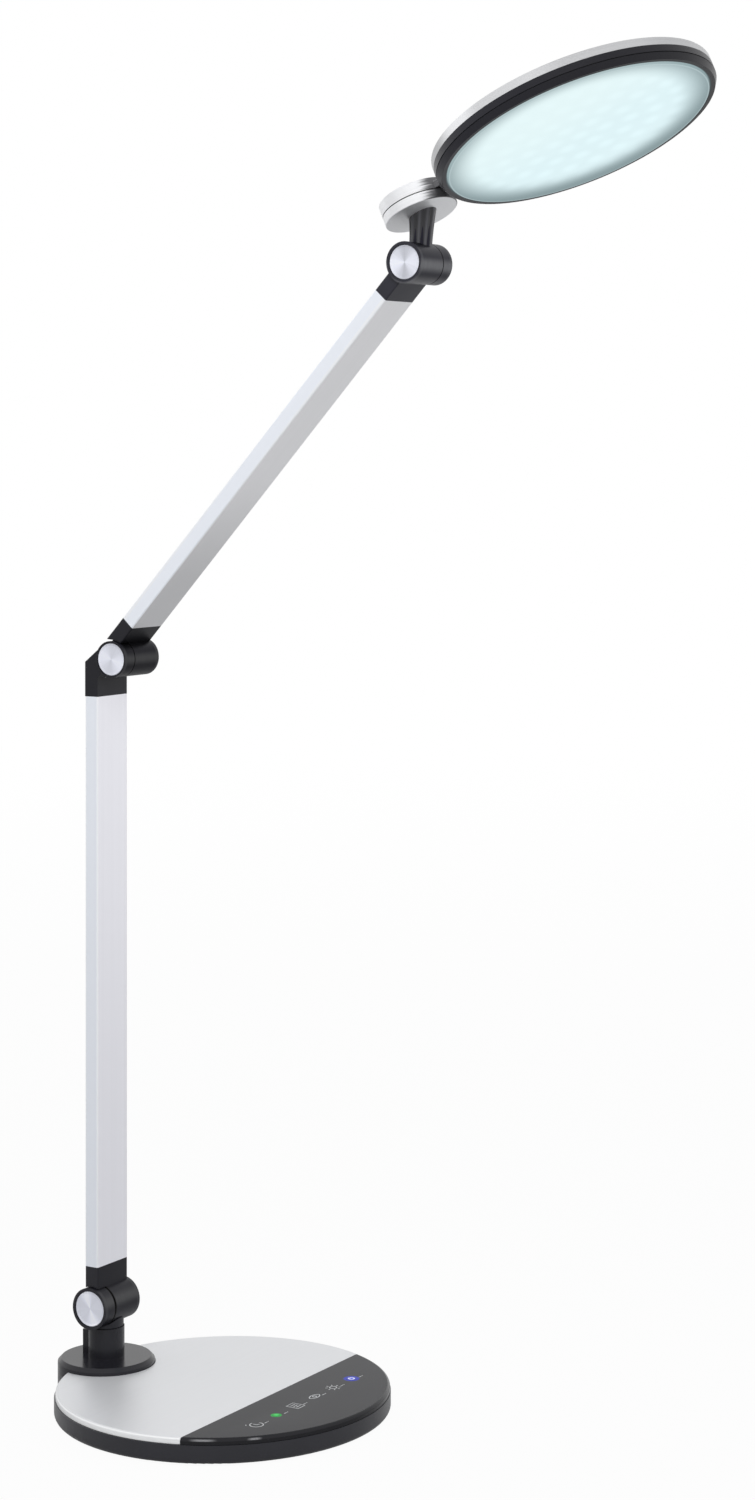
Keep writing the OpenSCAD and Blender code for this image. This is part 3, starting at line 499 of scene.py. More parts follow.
def drawn(name, colour, place, dim=None):
    """Anodised tube: fine lines drawn along it, a painted cool reflection on its narrow sides and a painted
    highlight down each corner. Its lower face can get painted shade, most below the first and not above the second
    of two heights."""
    finish = Finish(name)
    at = finish.local(place)
    x, y, z = finish.split(at)
    low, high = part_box("lower_arm_tube")
    side, face = (high.x - low.x) / 2 - abs(x), (high.y - low.y) / 2 - abs(y)
    lines = finish.noise(at, (1300, 1300, 5), 3)
    bands = finish.noise(at, (260, 260, 1.2), 2)
    base = finish.blend(0.5 * lines + 0.5 * bands, shade(colour, 0.94), shade(colour, 1.04))
    # Painted reflection: the narrow sides are tinted cooler.
    cool = (0.975 * colour[0], 1.01 * colour[0], 1.08 * colour[0], 1)
    base = finish.blend(1 - finish.rise(side, 0.1 * MM, 0.6 * MM), base, cool)
    if dim is not None:
        # Painted shade on the lower face, towards the tube's low end.
        under_shade = (1 - finish.rise(z, dim[0], dim[1])) * (1 - finish.rise(y, -3 * MM, -2 * MM))
        base = finish.blend(under_shade * finish.rise(side, 0.3 * MM, 0.8 * MM), base, shade(colour, 0.72))
    # Painted highlight down each corner.
    painted_highlight = 1 - finish.rise(side.most(face), 0.5 * MM, 1.3 * MM)
    base = finish.blend(0.6 * painted_highlight, base, (0.95, 0.955, 0.97, 1))
    normal = finish.bump(lines, 0.003 * MM, 0.6)
    return finish.done(Base_Color=base, Metallic=0.65, Roughness=0.34 + 0.1 * lines, Normal=normal)


def turned(name, colour, place, metal=0.85, rough=0.32, shaded=False, highlight_wall=None):
    """Turned metal: fine rings by radius and height. It can have a painted streaky reflection of the dark head on
    the side that faces it, with painted darker blotches on the other side, or painted highlights that come and go
    along a wall of a given radius."""
    finish = Finish(name)
    x, y, z = finish.split(finish.local(place))
    radius = (x * x + y * y) ** 0.5
    rings = finish.noise(finish.joined(radius, z, 0.0), (2600,) * 3, 2)
    base = finish.blend(rings, shade(colour, 0.86), shade(colour, 1.06))
    if highlight_wall is not None:
        # Painted highlights along the wall, strongest towards the camera's left.
        along = (PICTURE_RIGHT[0] * x + PICTURE_RIGHT[1] * y) / radius
        light = 0.15 * (1 - finish.rise(along, 0.45, 0.7)) + 0.3 * (1 - finish.rise(along, -0.3, 0.0))
        light = light + 0.45 * (1 - finish.rise(abs(along + 0.78), 0.03, 0.15))
        wall = finish.rise(radius, highlight_wall - 2 * MM, highlight_wall - 1 * MM)
        light = light * finish.rise(along, -0.96, -0.86) * wall
        base = finish.blend(light, base, shade(colour, 1.85))
    if shaded:
        # Painted reflection of the dark head: the wall darkens, in streaks, on the side that faces the head, but
        # not on the tongue's top face; painted darker blotches on the other side.
        tongue = finish.rise(radius, DISC_RADIUS + 0.15 * MM, DISC_RADIUS + 0.35 * MM)
        tongue = tongue * finish.rise(z, TONGUE_TOP - 0.12 * MM, TONGUE_TOP - 0.02 * MM)
        wall = finish.rise(radius, DISC_RADIUS - 0.75 * MM, DISC_RADIUS - 0.35 * MM) * (1 - tongue)
        sides = finish.noise(finish.joined(x / radius, y / radius, 0.4), (2.4,) * 3, 1)
        sides = 0.7 * finish.rise(sides, 0.4, 0.6) * finish.rise(y / radius, -0.2, 0.2)
        base = finish.blend(wall * sides, base, shade(colour, 0.78))
        streaks = finish.noise(finish.joined(z, 0.0, 0.0), (1100,) * 3, 2)
        towards = 0.5 * (streaks - 0.5) - y / radius
        base = finish.blend(wall * finish.rise(towards, 0.62, 0.84), base, (0.13, 0.13, 0.136, 1))
        seam = DISC.inverted() @ middle("disc_washer")
        line = wall * (1 - finish.rise(abs(z - seam.z), 0.1 * MM, 0.35 * MM))
        base = finish.blend(line, base, (0.02, 0.02, 0.02, 1))
    gloss = rough - 0.06 + 0.12 * rings
    normal = finish.bump(rings, 0.004 * MM, 0.6)
    return finish.done(Base_Color=base, Metallic=metal, Roughness=gloss, Normal=normal)


def spun(name, colour, place, seed, lobes):
    """Spun cap: a pair of painted highlight lobes by a power of the squared cosine of the turn, softened by
    sectors from noise round the unit circle, with fine rays and rings over them. The painted lobes are given by
    their turn, power and two shades."""
    finish = Finish(name)
    x, y, _ = finish.split(finish.local(place))
    radius = (x * x + y * y) ** 0.5
    spread = radius.most(0.2 * MM)
    turn = finish.joined(x / spread, y / spread, seed)
    sector = finish.rise(finish.noise(turn, (0.95, 0.95, 1.0), 2), 0.42, 0.58)
    rays = finish.noise(turn, (30, 30, 1.0), 1)
    rings = finish.noise(finish.joined(radius, 0.0, 0.0), (2200,) * 3, 2)
    cool = (0.98 * colour[0], 0.99 * colour[1], 1.07 * colour[2])
    # Painted highlight: two bright lobes across the cap, at the given turn.
    angle, power, low, high = lobes
    along = (y * math.sin(angle) - x * math.cos(angle)) / spread
    share = 0.8 * (along * along) ** power + 0.1 * sector + 0.3 * (rays - 0.5) + 0.2 * (rings - 0.5)
    base = finish.blend(share, shade(cool, low), shade(cool, high))
    normal = finish.bump(rings, 0.0015 * MM, 0.6)
    return finish.done(Base_Color=base, Metallic=0.35, Roughness=0.3 + 0.1 * rays, Normal=normal)


def panel_film(name, colour, lights):
    """Touch panel: a low-gloss grey film on top, gloss black round the moulded edge below it with two painted
    highlights on it, and light that bleeds into the film round each lens."""
    finish = Finish(name)
    at = finish.local()
    x, y, z = finish.split(at)
    top = finish.rise(z, BASE_TOP - 0.14 * MM, BASE_TOP - 0.04 * MM)
    fine = finish.noise(at, (3000,) * 3, 2)
    cloud = finish.noise(at, (30,) * 3)
    film = finish.blend(cloud, shade(colour, 0.92), shade(colour, 1.08))
    turn = y.arctan2(x)
    # Painted highlights: two gleams on the front edge, where the metal is taken off.
    gleam = 1 - finish.rise(abs(turn - GLEAMS[0]), 0.02, 0.09)
    gleam = gleam.most(1 - finish.rise(abs(turn - GLEAMS[1]), 0.01, 0.05))
    gleam = gleam * (1 - finish.rise(abs(z - BASE_TOP + 1.3 * MM), 0.2 * MM, 0.8 * MM))
    rim = finish.blend(gleam, (0.028, 0.028, 0.031, 1), (0.24, 0.24, 0.25, 1))
    base = finish.blend(top, rim, film)
    gloss = 0.16 + 0.3 * top + 0.05 * fine
    normal = finish.bump(fine * top, 0.012 * MM, 0.5)
    bleed = (0.0, 0.0, 0.0, 1)
    for node, glow in lights:
        x, y, _ = finish.about(middle(node))
        far = (x * x + y * y) ** 0.5 / half_width(node)
        halo = 1 - finish.rise(far, 1.15, 1.6)
        base = finish.blend(halo, base, (0.004, 0.004, 0.005, 1))
        bleed = finish.blend(halo, bleed, shade(glow, 0.8))
    return finish.done(
        Base_Color=base, Metallic=0.9 * (1 - top) * (1 - gleam), Roughness=gloss, Specular_IOR_Level=0.25,
        Normal=normal, Emission_Color=bleed, Emission_Strength=1.0,
    )


def frosted_glow(name, glow, edge, pitch, reach, face):
    """Lit diffuser: a soft spot over each chip of the rings behind it, a fall-off towards the rim, and a thin
    pale line where its face ends."""
    finish = Finish(name)
    x, y, z = finish.split(finish.local(DIFFUSER))
    radius = (x * x + y * y) ** 0.5
    last_ring, chips_per_ring = 4.0, 6
    ring = (radius / pitch).rounded().least(last_ring)
    count = (chips_per_ring * ring).most(1.0)
    turn = y.arctan2(x) / (2 * math.pi) * count
    across = (turn - turn.rounded()) * ring * (2 * math.pi * pitch) / count
    along = radius - ring * pitch
    near = (across * across + along * along) ** 0.5
    spot = 1 - finish.rise(near, 0.05 * pitch, 0.5 * pitch)
    patchy = finish.noise(finish.joined(x, y, 0.0), (70,) * 3, 2)
    field = finish.blend(0.5 * spot + 0.35 * patchy, shade(glow, 0.91), shade(glow, 1.03))
    mint = (1.03 * glow[0], 0.985 * glow[1], 0.955 * glow[2], 1)
    field = finish.blend(0.7 * (1 - finish.rise(x, -0.7 * reach, 0.3 * reach)), field, mint)
    # Darker towards the rim, off centre so that the dark band is widest on one side: partly the light's own
    # fall-off, partly painted shade of the bezel's wall.
    aside, off = x + 7 * MM, y + 2.5 * MM
    rim = finish.rise((aside * aside + off * off) ** 0.5, 0.74 * reach, 1.055 * reach)
    lit = finish.blend(rim, field, (*edge[:3], 1))
    line = finish.rise(radius, 0.987 * reach, 0.994 * reach)
    line = line * (1 - finish.rise(z, face + 0.1 * MM, face + 0.3 * MM))
    lit = finish.blend(0.4 * line, lit, shade(glow, 0.7))
    return finish.done(
        Base_Color=(0.06, 0.065, 0.068, 1), Roughness=0.45, Specular_IOR_Level=0.2,
        Emission_Color=lit, Emission_Strength=1.0,
    )


def lit_lens(name, glow, centre, radius, symbol=False):
    """Lit lens: brighter in the middle than at the edge. Its symbol is a white ring with a bar in its gap."""
    finish = Finish(name)
    x, y, _ = finish.about(centre)
    far = (x * x + y * y) ** 0.5
    share = finish.rise(far, 0.1 * radius, radius)
    lit = finish.blend(share, shade(glow, 1.35), shade(glow, 0.55))
    if symbol:
        line = 0.085 * radius
        ring = 1 - finish.rise(abs(far - 0.5 * radius), 0.6 * line, 1.6 * line)
        gap = finish.rise(abs(x), 1.6 * line, 2.4 * line)
        ring = ring * (1 - finish.rise(y, 0.0, 0.05 * radius) * (1 - gap))
        bar = (1 - finish.rise(abs(x), 0.5 * line, 1.4 * line)) * finish.rise(y, 0.08 * radius, 0.2 * radius)
        bar = bar * (1 - finish.rise(y, 0.6 * radius, 0.72 * radius))
        lit = finish.blend(ring.most(bar), lit, (0.9, 0.93, 1.0, 1))
    return finish.done(
        Base_Color=(0.01, 0.01, 0.012, 1), Roughness=0.3, Specular_IOR_Level=0.1,
        Emission_Color=lit, Emission_Strength=1.0,
    )


def fluted(name, colour, place, flutes):
    """Satin moulding whose ridges, a power of the cosine of the turn, are painted paler than its flutes as
    painted highlights.
    """
    finish = Finish(name)
    at = finish.local(place)
    x, y, _ = finish.split(at)
    turn = y.arctan2(x)
    # Painted highlights: the ridges are painted paler than the flutes.
    ridge = (0.5 - 0.5 * (flutes * turn).cosine()) ** 3
    fine = finish.noise(at, (900, 900, 60), 2)
    base = finish.blend(ridge * (0.6 + 0.4 * fine), shade(colour, 3.2), shade(colour, 10.0))
    return finish.done(Base_Color=base, Roughness=0.28 + 0.1 * fine, Specular_IOR_Level=0.35)


def circuit(name, colour, scale):
    """Circuit board lacquer: a fine field of traces under solder resist."""
    finish = Finish(name)
    at = finish.local()
    traces = finish.noise(at, scale, 1)
    base = finish.blend(finish.rise(traces, 0.48, 0.52), shade(colour, 0.85), shade(colour, 1.1))
    return finish.done(Base_Color=base, Roughness=0.3 + 0.1 * traces)


# Settings


class LampColours(bpy.types.PropertyGroup):
    """Colours of the lamp's finishes."""

    silver: FloatVectorProperty(
        name="Silver", description="Colour of the brushed metal", subtype="COLOR", default=(0.70, 0.705, 0.72)
    )
    anodised: FloatVectorProperty(
        name="Arm metal", description="Colour of the anodised arm tubes", subtype="COLOR",
        default=(0.925, 0.922, 0.975),
    )
    black: FloatVectorProperty(
        name="Black", description="Colour of the black mouldings", subtype="COLOR",
        default=(0.0100, 0.0099, 0.0140),
    )
    film: FloatVectorProperty(
        name="Panel film", description="Colour of the touch panel's film", subtype="COLOR",
        default=(0.0405, 0.0405, 0.0435),
    )
    ink: FloatVectorProperty(
        name="Print", description="Colour of the marks on the panel", subtype="COLOR",
        default=(0.58, 0.59, 0.60),
    )
    glow: FloatVectorProperty(
        name="Diffuser", description="Colour of the lit diffuser", subtype="COLOR",
        default=(0.715, 0.885, 0.915),
    )
    glow_edge: FloatVectorProperty(
        name="Diffuser's rim", description="Colour of the lit diffuser at its rim", subtype="COLOR",
        default=(0.185, 0.262, 0.276),
    )
    charge: FloatVectorProperty(
        name="Charge light", description="Colour of the charge light", subtype="COLOR",
        default=(0.002, 0.47, 0.055),
    )
    power: FloatVectorProperty(
        name="Power light", description="Colour of the power light", subtype="COLOR",
        default=(0.02, 0.04, 0.54),
    )


class LampSizes(bpy.types.PropertyGroup):
    """Sizes of the fine forms that the scene adds."""

    soft_edge: FloatProperty(
        name="Soft edge", description="Rounding of the mouldings' edges", unit="LENGTH", default=0.35 * MM
    )
    cap_dish: FloatProperty(
        name="Cap dish", description="Depth of the hinge caps' dished face", unit="LENGTH", default=0.25 * MM
    )
    flutes: IntProperty(name="Flutes", description="Number of flutes round the stem", default=10, min=3)
    flute_depth: FloatProperty(
        name="Flute depth", description="Depth of the stem's flutes", unit="LENGTH", default=0.45 * MM
    )
    disc_rise: FloatProperty(
        name="Disc rise", description="How far the lower disc's underside is drawn up", unit="LENGTH",
        default=1.2 * MM,
    )
    line: FloatProperty(
        name="Print line", description="Width of the printed lines", unit="LENGTH", default=0.6 * MM
    )
    proud: FloatProperty(
        name="Diffuser step", description="How far the diffuser stands below its flange", unit="LENGTH",
        default=1.9 * MM,
    )
    chip_pitch: FloatProperty(
        name="Chip pitch", description="Distance between the rings of lit spots", unit="LENGTH",
        default=15 * MM,
    )


class LampStage(bpy.types.PropertyGroup):
    """Light and camera."""

    key: FloatProperty(name="Key light", description="Power of the key light", unit="POWER", default=28.0)
    fill: FloatProperty(name="Fill light", description="Power of the fill light", unit="POWER", default=9.5)
    sky: FloatProperty(
        name="Sky", description="Strength of the even light from all round", default=0.5, min=0.0
    )
    lens: FloatProperty(name="Lens", description="Focal length", unit="CAMERA", default=73.3556)


def settings():
    """The scene's colours, sizes and stage."""
    scene = bpy.context.scene
    return scene.lamp_colours, scene.lamp_sizes, scene.lamp_stage


# Pieces


class LAMP_OT_stage(bpy.types.Operator):
    """Camera at the photograph's angle, a pale floor, soft lamps and an even white surround"""

    bl_idname = "lamp.stage"
    bl_label = "Stage"

    def execute(self, context):
        stage = settings()[2]
        scene = context.scene
        scene.view_settings.view_transform = "Standard"
        lens = bpy.data.cameras.new("camera")
        lens.lens = stage.lens
        lens.sensor_width = SENSOR_WIDTH
        lens.shift_x, lens.shift_y = CAMERA_SHIFT
        camera = bpy.data.objects.new("camera", lens)
        camera.location = CAMERA_PLACE
        camera.rotation_euler = CAMERA_TURN
        scene.collection.objects.link(camera)
        scene.camera = camera
        self.lamp("key_light", stage.key, (-1.5, -0.8, 2.0), (0, 0, 0.5), 1.4)
        self.lamp("fill_light", stage.fill, (0.9, -2.0, 1.1), (0, 0, 0.4), 1.5)
        self.world(scene, stage.sky)
        self.floor(scene)
        return {"FINISHED"}

    def lamp(self, name, power, place, aim, size):
        """Square soft lamp at a place, turned towards its aim."""
        light = bpy.data.lights.new(name, "AREA")
        light.energy, light.size = power, size
        lamp = bpy.data.objects.new(name, light)
        lamp.location = place
        lamp.rotation_euler = (Vector(aim) - Vector(place)).to_track_quat("-Z", "Y").to_euler()
        lamp.visible_camera = lamp.visible_glossy = False
        bpy.context.scene.collection.objects.link(lamp)

    def world(self, scene, sky):
        """Even light that the camera, gloss and glass see as plain white."""
        surround = Finish("surround", bpy.data.worlds)
        even = surround.add("ShaderNodeBackground", values={"Color": (0.97, 0.985, 1.0, 1), "Strength": sky})
        white = surround.add("ShaderNodeBackground", values={"Color": (1, 1, 1, 1)})
        seen, _ = self.seen(surround)
        mix = surround.add("ShaderNodeMixShader", values={0: seen, 1: even, 2: white})
        surround.add_output(mix, "ShaderNodeOutputWorld")
        scene.world = surround.material

    def seen(self, finish):
        """1 for the rays that show the surround (camera, glossy and transmission), and 1 for camera rays."""
        path = finish.add("ShaderNodeLightPath").socket.node
        names = ("Is Camera Ray", "Is Glossy Ray", "Is Transmission Ray")
        camera, gloss, glass = [Value(finish, path.outputs[name]) for name in names]
        return camera.most(gloss).most(glass), camera

    def floor(self, scene):
        """Flat floor whose white grows towards its rim, and which keeps the lamp's shadow in the middle."""
        half, gap = 6, 0.2 * MM
        reach = np.linspace(-half, half, 25)
        x, y = np.meshgrid(reach, reach, indexing="ij")
        points, faces = grid(np.stack([x, y, 0 * x - gap], -1))
        mesh = bpy.data.meshes.new("floor")
        mesh.from_pydata(points.tolist(), [], faces[:, ::-1].tolist())
        finish = Finish("floor_white")
        x, y, _ = finish.split(finish.local())
        far = finish.rise((x * x + y * y) ** 0.5, 0.2, 4.0)
        grain = finish.noise(finish.local(), (400,) * 3, 2)
        paper = finish.blend(grain, (0.6, 0.6, 0.6, 1), (0.64, 0.64, 0.64, 1))
        diffuse = finish.add("ShaderNodeBsdfDiffuse", values={"Color": paper})
        white = finish.add("ShaderNodeEmission", values={"Color": (1, 1, 1, 1), "Strength": 1.0})
        seen, direct = self.seen(finish)
        share = seen * (0.2 + 0.8 * far).most(direct * (0.96 + 0.04 * far))
        finish.add_output(finish.add("ShaderNodeMixShader", values={0: share, 1: diffuse, 2: white}))
        mesh.materials.append(finish.material)
        floor = bpy.data.objects.new("floor", mesh)
        scene.collection.objects.link(floor)


class LAMP_OT_base(bpy.types.Operator):
    """Round base: brushed top cover, black housing, foot pad and the pedestal at its rear"""

    bl_idname = "lamp.base"
    bl_label = "Base and pedestal"

    def execute(self, context):
        colours, sizes, _ = settings()
        black = moulded("housing_black", shade(colours.black, 1.3), 0.3, shine=0.5)
        softened("base_housing", black, sizes.soft_edge)
        tone, rim = shade(colours.silver, 1.1), half_width("top_cover")
        cover = brushed("cover_brushed", tone, (9, 1500, 1500), metal=0.35, rough=0.4, rim=rim)
        softened("top_cover", cover, sizes.soft_edge)
        gloss = moulded("pedestal_black", colours.black, 0.22, grain=0.006, shine=0.35)
        softened("pedestal", gloss, sizes.soft_edge)
        dress(moulded("inlet_black", colours.black, 0.4), "power_inlet", "bottom_cover")
        dress(moulded("foot_rubber", shade(colours.black, 1.6), 0.75, grain=0.05), "base_pad")
        return {"FINISHED"}


class LAMP_OT_panel(bpy.types.Operator):
    """Touch panel with its printed marks and its two lit lenses"""

    bl_idname = "lamp.panel"
    bl_label = "Touch panel"

    def execute(self, context):
        colours, sizes, _ = settings()
        lights = (("charge_light", colours.charge), ("power_light", colours.power))
        softened("control_panel", panel_film("panel_film", colours.film, lights), sizes.soft_edge)
        self.marks(colours, sizes)
        for node, colour in lights:
            self.lens(node, colour)
        return {"FINISHED"}

    def lens(self, node, colour):
        """Shallow domed lens: a cylinder whose top rises in a parabola."""
        low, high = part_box(node)
        radius, centre = half_width(node), middle(node)
        share = np.linspace(0, 1, 9)
        dome = np.stack([radius * share, high.z + 0.12 * MM * (1 - share**2)], 1)
        profile = np.vstack([dome, [[radius, low.z], [0, low.z]]])
        place = Matrix.Translation((centre.x, centre.y, 0))
        finish = lit_lens(node + "_glow", colour, centre, radius, symbol=node == "power_light")
        piece(node + "_lens", [lathe(profile, place, 64)], finish, node)

    def marks(self, colours, sizes):
        """Printed signs in a row: each is made of thin strokes round its place, with two short dashes beside
        it. The row's steps are counted from the charge light, and the power light is the fourth."""
        ink = moulded("panel_print", colours.ink, 0.5, grain=0.005)
        first, last = middle("charge_light"), middle("power_light")
        last_step, sign_scale = 4, 1.5 * MM
        pitch = (last.x - first.x) / last_step
        row, height = first.y, (BASE_TOP - 0.02 * MM, BASE_TOP + 0.03 * MM)
        signs = {-1: self.timer(), 1: self.page(), 2: self.eye(), 3: self.sun()}
        dashes = [np.array([[4.6, -2.4], [7.2, -2.4]]), np.array([[7.7, -2.4], [8.6, -2.4]])]
        shells = []
        for step, strokes in [*signs.items(), (0, []), (last_step, [])]:
            place = np.array([first.x + step * pitch, row])
            for path, closed in strokes:
                shells.append(stroke(place + sign_scale * path, sizes.line, height, closed))
            shells += [stroke(place + path * MM, 0.8 * sizes.line, height) for path in dashes]
        piece("panel_marks", shells, ink, body=BODY["control_panel"])

    def timer(self):
        """A ring open at the top right, with two hands."""
        return [
            (arc((0, 0), 2.6, 75, 370, 40), False),
            (np.array([[0, 1.5], [0, 0], [1.2, -0.6]]), False),
            (np.array([[-2.9, 2.9], [-2.2, 3.4]]), False),
        ]

    def page(self):
        """A page with three lines."""
        outline = np.array([[-2.4, -2.8], [2.4, -2.8], [2.4, 2.8], [-2.4, 2.8], [-2.4, -2.8]])
        lines = [(np.array([[-1.4, y], [1.4, y]]), False) for y in (-1.3, 0.0, 1.3)]
        return [(outline, False), *lines]

    def eye(self):
        """Two arcs that meet at the sides, round a small ring."""
        return [
            (arc((0, -2.4), 4.0, 35, 145), False),
            (arc((0, 2.4), 4.0, 215, 325), False),
            (arc((0, 0), 0.8, 0, 345, 24), True),
        ]

    def sun(self):
        """A ring with eight rays."""
        turns = np.radians(np.arange(0, 360, 45))
        rays = [(np.outer((2.2, 3.2), (math.cos(t), math.sin(t))), False) for t in turns]
        return [(arc((0, 0), 1.4, 0, 350, 36), True), *rays]


class LAMP_OT_arms(bpy.types.Operator):
    """Arm tubes with a drawn satin finish, and the black mouldings at their ends"""

    bl_idname = "lamp.arms"
    bl_label = "Arms"

    def execute(self, context):
        colours, sizes, _ = settings()
        dress(drawn("lower_arm_satin", colours.anodised, LOWER_ARM), "lower_arm_tube")
        half = half_height("upper_arm_tube") / ARM_DIRECTION.normalized().z
        even = [0.4 * channel + 0.6 * colours.anodised[0] for channel in colours.anodised]
        satin = drawn("upper_arm_satin", even, UPPER_ARM, dim=(30 * MM - half, 140 * MM - half))
        dress(satin, "upper_arm_tube")
        # Painted highlight bands and painted shade on the hinge barrels.
        black = hinge_black(
            "elbow_black", "elbow", colours.black, 0.4, 0.25, CAP_WALL, 0.16 * MM,
            peak=0.0, band=2.7, foot=0.0, matt=1.0,
        )
        grooved = hinge_black(
            "lower_hinge_black", "lower_hinge", shade(colours.black, 1.15), 0.38, 0.35, CAP_WALL, 0.5 * MM,
            peak=0.35, band=3.2, foot=0.0, matt=0.5,
        )
        softened("hinge_neck", grooved, 2 * sizes.soft_edge)
        softened("lower_arm_foot", grooved, sizes.soft_edge)
        for node in ("lower_arm_head", "upper_arm_foot"):
            softened(node, black, sizes.soft_edge)
        return {"FINISHED"}


class LAMP_OT_caps(bpy.types.Operator):
    """Spun caps in the ends of the three hinges"""

    bl_idname = "lamp.caps"
    bl_label = "Hinge caps"

    def execute(self, context):
        colours, sizes, _ = settings()
        # Painted highlight lobes of the three hinges' caps: turn, power and two shades.
        lobes = (
            (math.radians(110), 5, 0.86, 1.2),
            (math.radians(-20), 1, 0.9, 1.2),
            (0.0, 0.7, 0.8, 1.42),
        )
        for seed, (hinge, axis) in enumerate(HINGES.items()):
            low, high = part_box(hinge + "_front_cap")
            radius, thick = (high.z - low.z) / 2, high.x - low.x
            across = placed(axis, (1, 0, 0), (0, 1, 0))
            # Painted light: each hinge's caps get their own brightness of the silver, 1.3, 1.15 and 1.0 times.
            tone = shade(colours.silver, 1.3 - 0.15 * seed)
            finish = spun(hinge + "_spun", tone, across, 2.7 * seed, lobes[seed])
            front = placed((low.x, axis.y, axis.z), (-1, 0, 0), (0, -1, 0))
            rear = placed((-low.x, axis.y, axis.z), (1, 0, 0), (0, 1, 0))
            for side, place in (("front", front), ("rear", rear)):
                shell = lathe(self.profile(radius, thick, sizes.cap_dish), place, 96)
                piece(f"{hinge}_{side}_disc", [shell], finish, f"{hinge}_{side}_cap")
        return {"FINISHED"}

    def profile(self, radius, thick, dish):
        """Dished face, a raised flat rim, a bevel and a plain back: the face's depth falls with the radius
        squared."""
        inner, flat, bevel, soft = radius - 0.9 * MM, radius - 0.75 * MM, 0.3 * MM, 0.1 * MM
        face = [(inner * share, -dish * (1 - 0.6 * share * share), 0) for share in np.linspace(0, 1, 10)]
        rim = [(flat, 0, soft), (radius - bevel, 0, soft), (radius, -bevel, soft)]
        return rounded(face + rim + [(radius, -thick, 0), (0, -thick, 0)], BEVEL_STEPS)


class LAMP_OT_stem(bpy.types.Operator):
    """Fluted stem on the head hinge, and the pair of swivel discs that it carries"""

    bl_idname = "lamp.stem"
    bl_label = "Stem and swivel discs"

    def execute(self, context):
        colours, sizes, _ = settings()
        # Painted light: the head hinge's black is painted lighter, 2.2 times the black, with a painted highlight
        # band and painted shade on its barrel.
        black = hinge_black(
            "stem_black", "head_hinge", shade(colours.black, 2.2), 0.4, 0.3, HEAD_CAP_WALL, 0.2 * MM,
            peak=-0.15, band=5.8, foot=0.65, matt=0.9,
        )
        softened("upper_arm_head", black, sizes.soft_edge)
        softened("head_stem", black, sizes.soft_edge, below=(DISC @ Vector((0, 0, -1.5 * MM)), DISC_AXIS))
        # Painted light: the stem's sleeve is painted 3.2 to 10 times the black.
        grey = colours.black[0]
        ridged = fluted("stem_ridged", (grey, grey, 1.12 * grey), STEM, sizes.flutes)
        piece("stem_flutes", [self.fluted(sizes)], ridged, body=BODY["head_stem"])
        # Painted reflection of the dark head on the discs' side that faces it.
        metal = turned("disc_turned", shade(colours.silver, 1.3), DISC, metal=0.7, rough=0.34, shaded=True)
        for node in ("head_bracket", "bracket_cap"):
            softened(node, metal, sizes.soft_edge)
        piece("swivel_disc_turned", [lathe(self.disc(sizes), DISC)], metal, "swivel_disc")
        return {"FINISHED"}

    def disc(self, sizes):
        """Disc with round edges and a recess in its top; its underside is drawn up from the joint's plane."""
        low, high, edge = sizes.disc_rise, 7 * MM, 0.5 * MM
        recess, floor = 18 * MM, 4.4 * MM
        outside = [(0, low, 0), (DISC_RADIUS, low, edge), (DISC_RADIUS, high, edge)]
        return rounded(outside + [(recess, high, 0), (recess, floor, 0), (0, floor, 0)])

    def fluted(self, sizes):
        """Sleeve round the stem: its radius swells towards the disc and dips by a raised cosine of the turn,
        which fades out over the last quarter, and each line along it ends at the disc's underside."""
        turn = np.linspace(0, 2 * math.pi, 240, endpoint=False)[None]
        share = np.linspace(0, 1, 40)[:, None]
        radius, start, most_swell, overlap = 6.6 * MM, 8 * MM, 1.1 * MM, 0.2 * MM
        swell = most_swell * share**2
        window = np.clip((1 - share) * 4, 0, 1)
        flute = (0.5 + 0.5 * np.cos(sizes.flutes * turn)) ** 2
        r = radius + swell - sizes.flute_depth * window * flute
        x, y, z = (np.array(STEM.col[i][:3]) for i in range(3))
        normal = np.array(DISC_AXIS)
        up = normal @ (np.array(DISC.translation) - np.array(STEM.translation)) + sizes.disc_rise + overlap
        end = (up - r[-1:] * (np.cos(turn) * (normal @ x) + np.sin(turn) * (normal @ y))) / (normal @ z)
        along = start + (end - start) * share
        points = np.stack([r * np.cos(turn), r * np.sin(turn), along], -1)
        poles = [points[:1].mean(1, keepdims=True), points[-1:].mean(1, keepdims=True)]
        first, last = (pole.repeat(points.shape[1], 1) for pole in poles)
        return grid(moved(np.concatenate([first, points, last]), STEM), wrap_v=True)


class LAMP_OT_head(bpy.types.Operator):
    """Round head: satin back cover, stepped black bezel and the lit diffuser"""

    bl_idname = "lamp.head"
    bl_label = "Head"

    def execute(self, context):
        colours, sizes, _ = settings()
        tone, wall = shade(colours.silver, 0.72), half_width("back_cover")
        # Painted highlights along the back cover's wall.
        back = turned("back_satin", tone, DIFFUSER, rough=0.36, highlight_wall=wall)
        softened("back_cover", back, sizes.soft_edge)
        radius = half_width("diffuser")
        opening = radius - LIP
        black = moulded("bezel_black", shade(colours.black, 1.3), 0.32, lit=(opening, colours.glow))
        softened("bezel_ring", black, sizes.soft_edge)
        self.diffuser(colours, sizes, radius, opening)
        return {"FINISHED"}

    def diffuser(self, colours, sizes, radius, opening):
        """Frosted disc that fills the bezel's opening: its lower face, domed with one minus the radius
        squared, stands below a thin flange that lies on the lip."""
        low, high, dome = -FLANGE_HALF, FLANGE_HALF, 0.3 * MM
        face = low - sizes.proud
        share = np.linspace(0, 1, 24)
        lower = np.stack([opening * share, face - dome * (1 - share**2)], 1)
        profile = np.vstack([lower, [[opening, low], [radius, low], [radius, high], [0, high]]])
        glow, edge = colours.glow, colours.glow_edge
        finish = frosted_glow("diffuser_glow", glow, edge, sizes.chip_pitch, opening, face)
        piece("diffuser_disc", [lathe(profile, DIFFUSER)], finish, "diffuser")


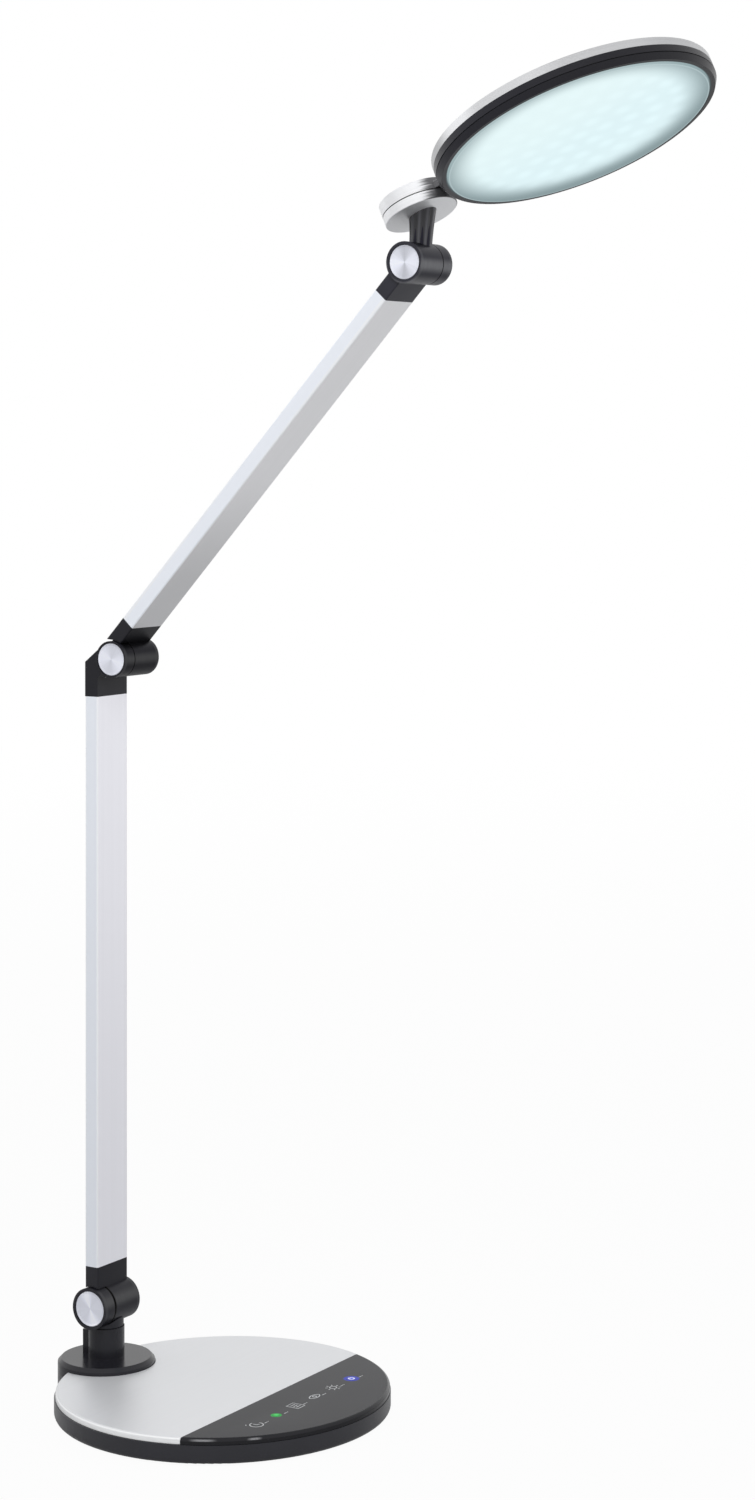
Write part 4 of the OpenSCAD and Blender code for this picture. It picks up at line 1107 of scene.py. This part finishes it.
class LAMP_OT_inside(bpy.types.Operator):
    """Pieces inside the lamp: screws, bolts, washers, wires and boards"""

    bl_idname = "lamp.inside"
    bl_label = "Inner pieces"

    def execute(self, context):
        colours, _, _ = settings()
        finishes = {
            "fastener_steel": brushed("fastener_zinc", (0.62, 0.62, 0.6), (900,) * 3, metal=0.95, rough=0.35),
            "weight_steel": brushed("weight_steel", (0.4, 0.4, 0.41), (30, 700, 700), metal=0.95, rough=0.45),
            "washer_nylon": moulded("washer_nylon", colours.black, 0.5),
            "wire_plastic": moulded("wire_jacket", colours.black, 0.55),
            "board_green": circuit("touch_board_green", (0.02, 0.16, 0.06), (500, 120, 500)),
            "led_board_metal": circuit("led_board_white", (0.82, 0.82, 0.8), (160, 160, 160)),
            "chip_plastic": moulded("chip_phosphor", (0.75, 0.6, 0.12), 0.3),
        }
        for slot, finish in finishes.items():
            dress(finish, *[node for node in SLOT if SLOT[node] == slot])
        return {"FINISHED"}


STEPS = (
    LAMP_OT_stage,
    LAMP_OT_base,
    LAMP_OT_panel,
    LAMP_OT_arms,
    LAMP_OT_caps,
    LAMP_OT_stem,
    LAMP_OT_head,
    LAMP_OT_inside,
)


class LAMP_PT_sidebar(bpy.types.Panel):
    """Lists the lamp's settings and the steps that build it"""

    bl_idname = "LAMP_PT_sidebar"
    bl_label = "Desk Lamp"
    bl_space_type = "VIEW_3D"
    bl_region_type = "UI"
    bl_category = "Desk Lamp"

    def draw(self, context):
        for group in settings():
            box = self.layout.box()
            for name in group.__annotations__:
                box.prop(group, name)
        for step in STEPS:
            self.layout.operator(step.bl_idname)


GROUPS = {"lamp_colours": LampColours, "lamp_sizes": LampSizes, "lamp_stage": LampStage}


def register():
    for kind in (*GROUPS.values(), *STEPS, LAMP_PT_sidebar):
        bpy.utils.register_class(kind)
    for name, kind in GROUPS.items():
        setattr(bpy.types.Scene, name, PointerProperty(type=kind))


def unregister():
    for name in GROUPS:
        delattr(bpy.types.Scene, name)
    for kind in (LAMP_PT_sidebar, *reversed(STEPS), *reversed(tuple(GROUPS.values()))):
        bpy.utils.unregister_class(kind)


def main():
    """Registers the add-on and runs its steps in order."""
    register()
    bpy.ops.lamp.stage()
    bpy.ops.lamp.base()
    bpy.ops.lamp.panel()
    bpy.ops.lamp.arms()
    bpy.ops.lamp.caps()
    bpy.ops.lamp.stem()
    bpy.ops.lamp.head()
    bpy.ops.lamp.inside()


if __name__ == "__main__":
    main()
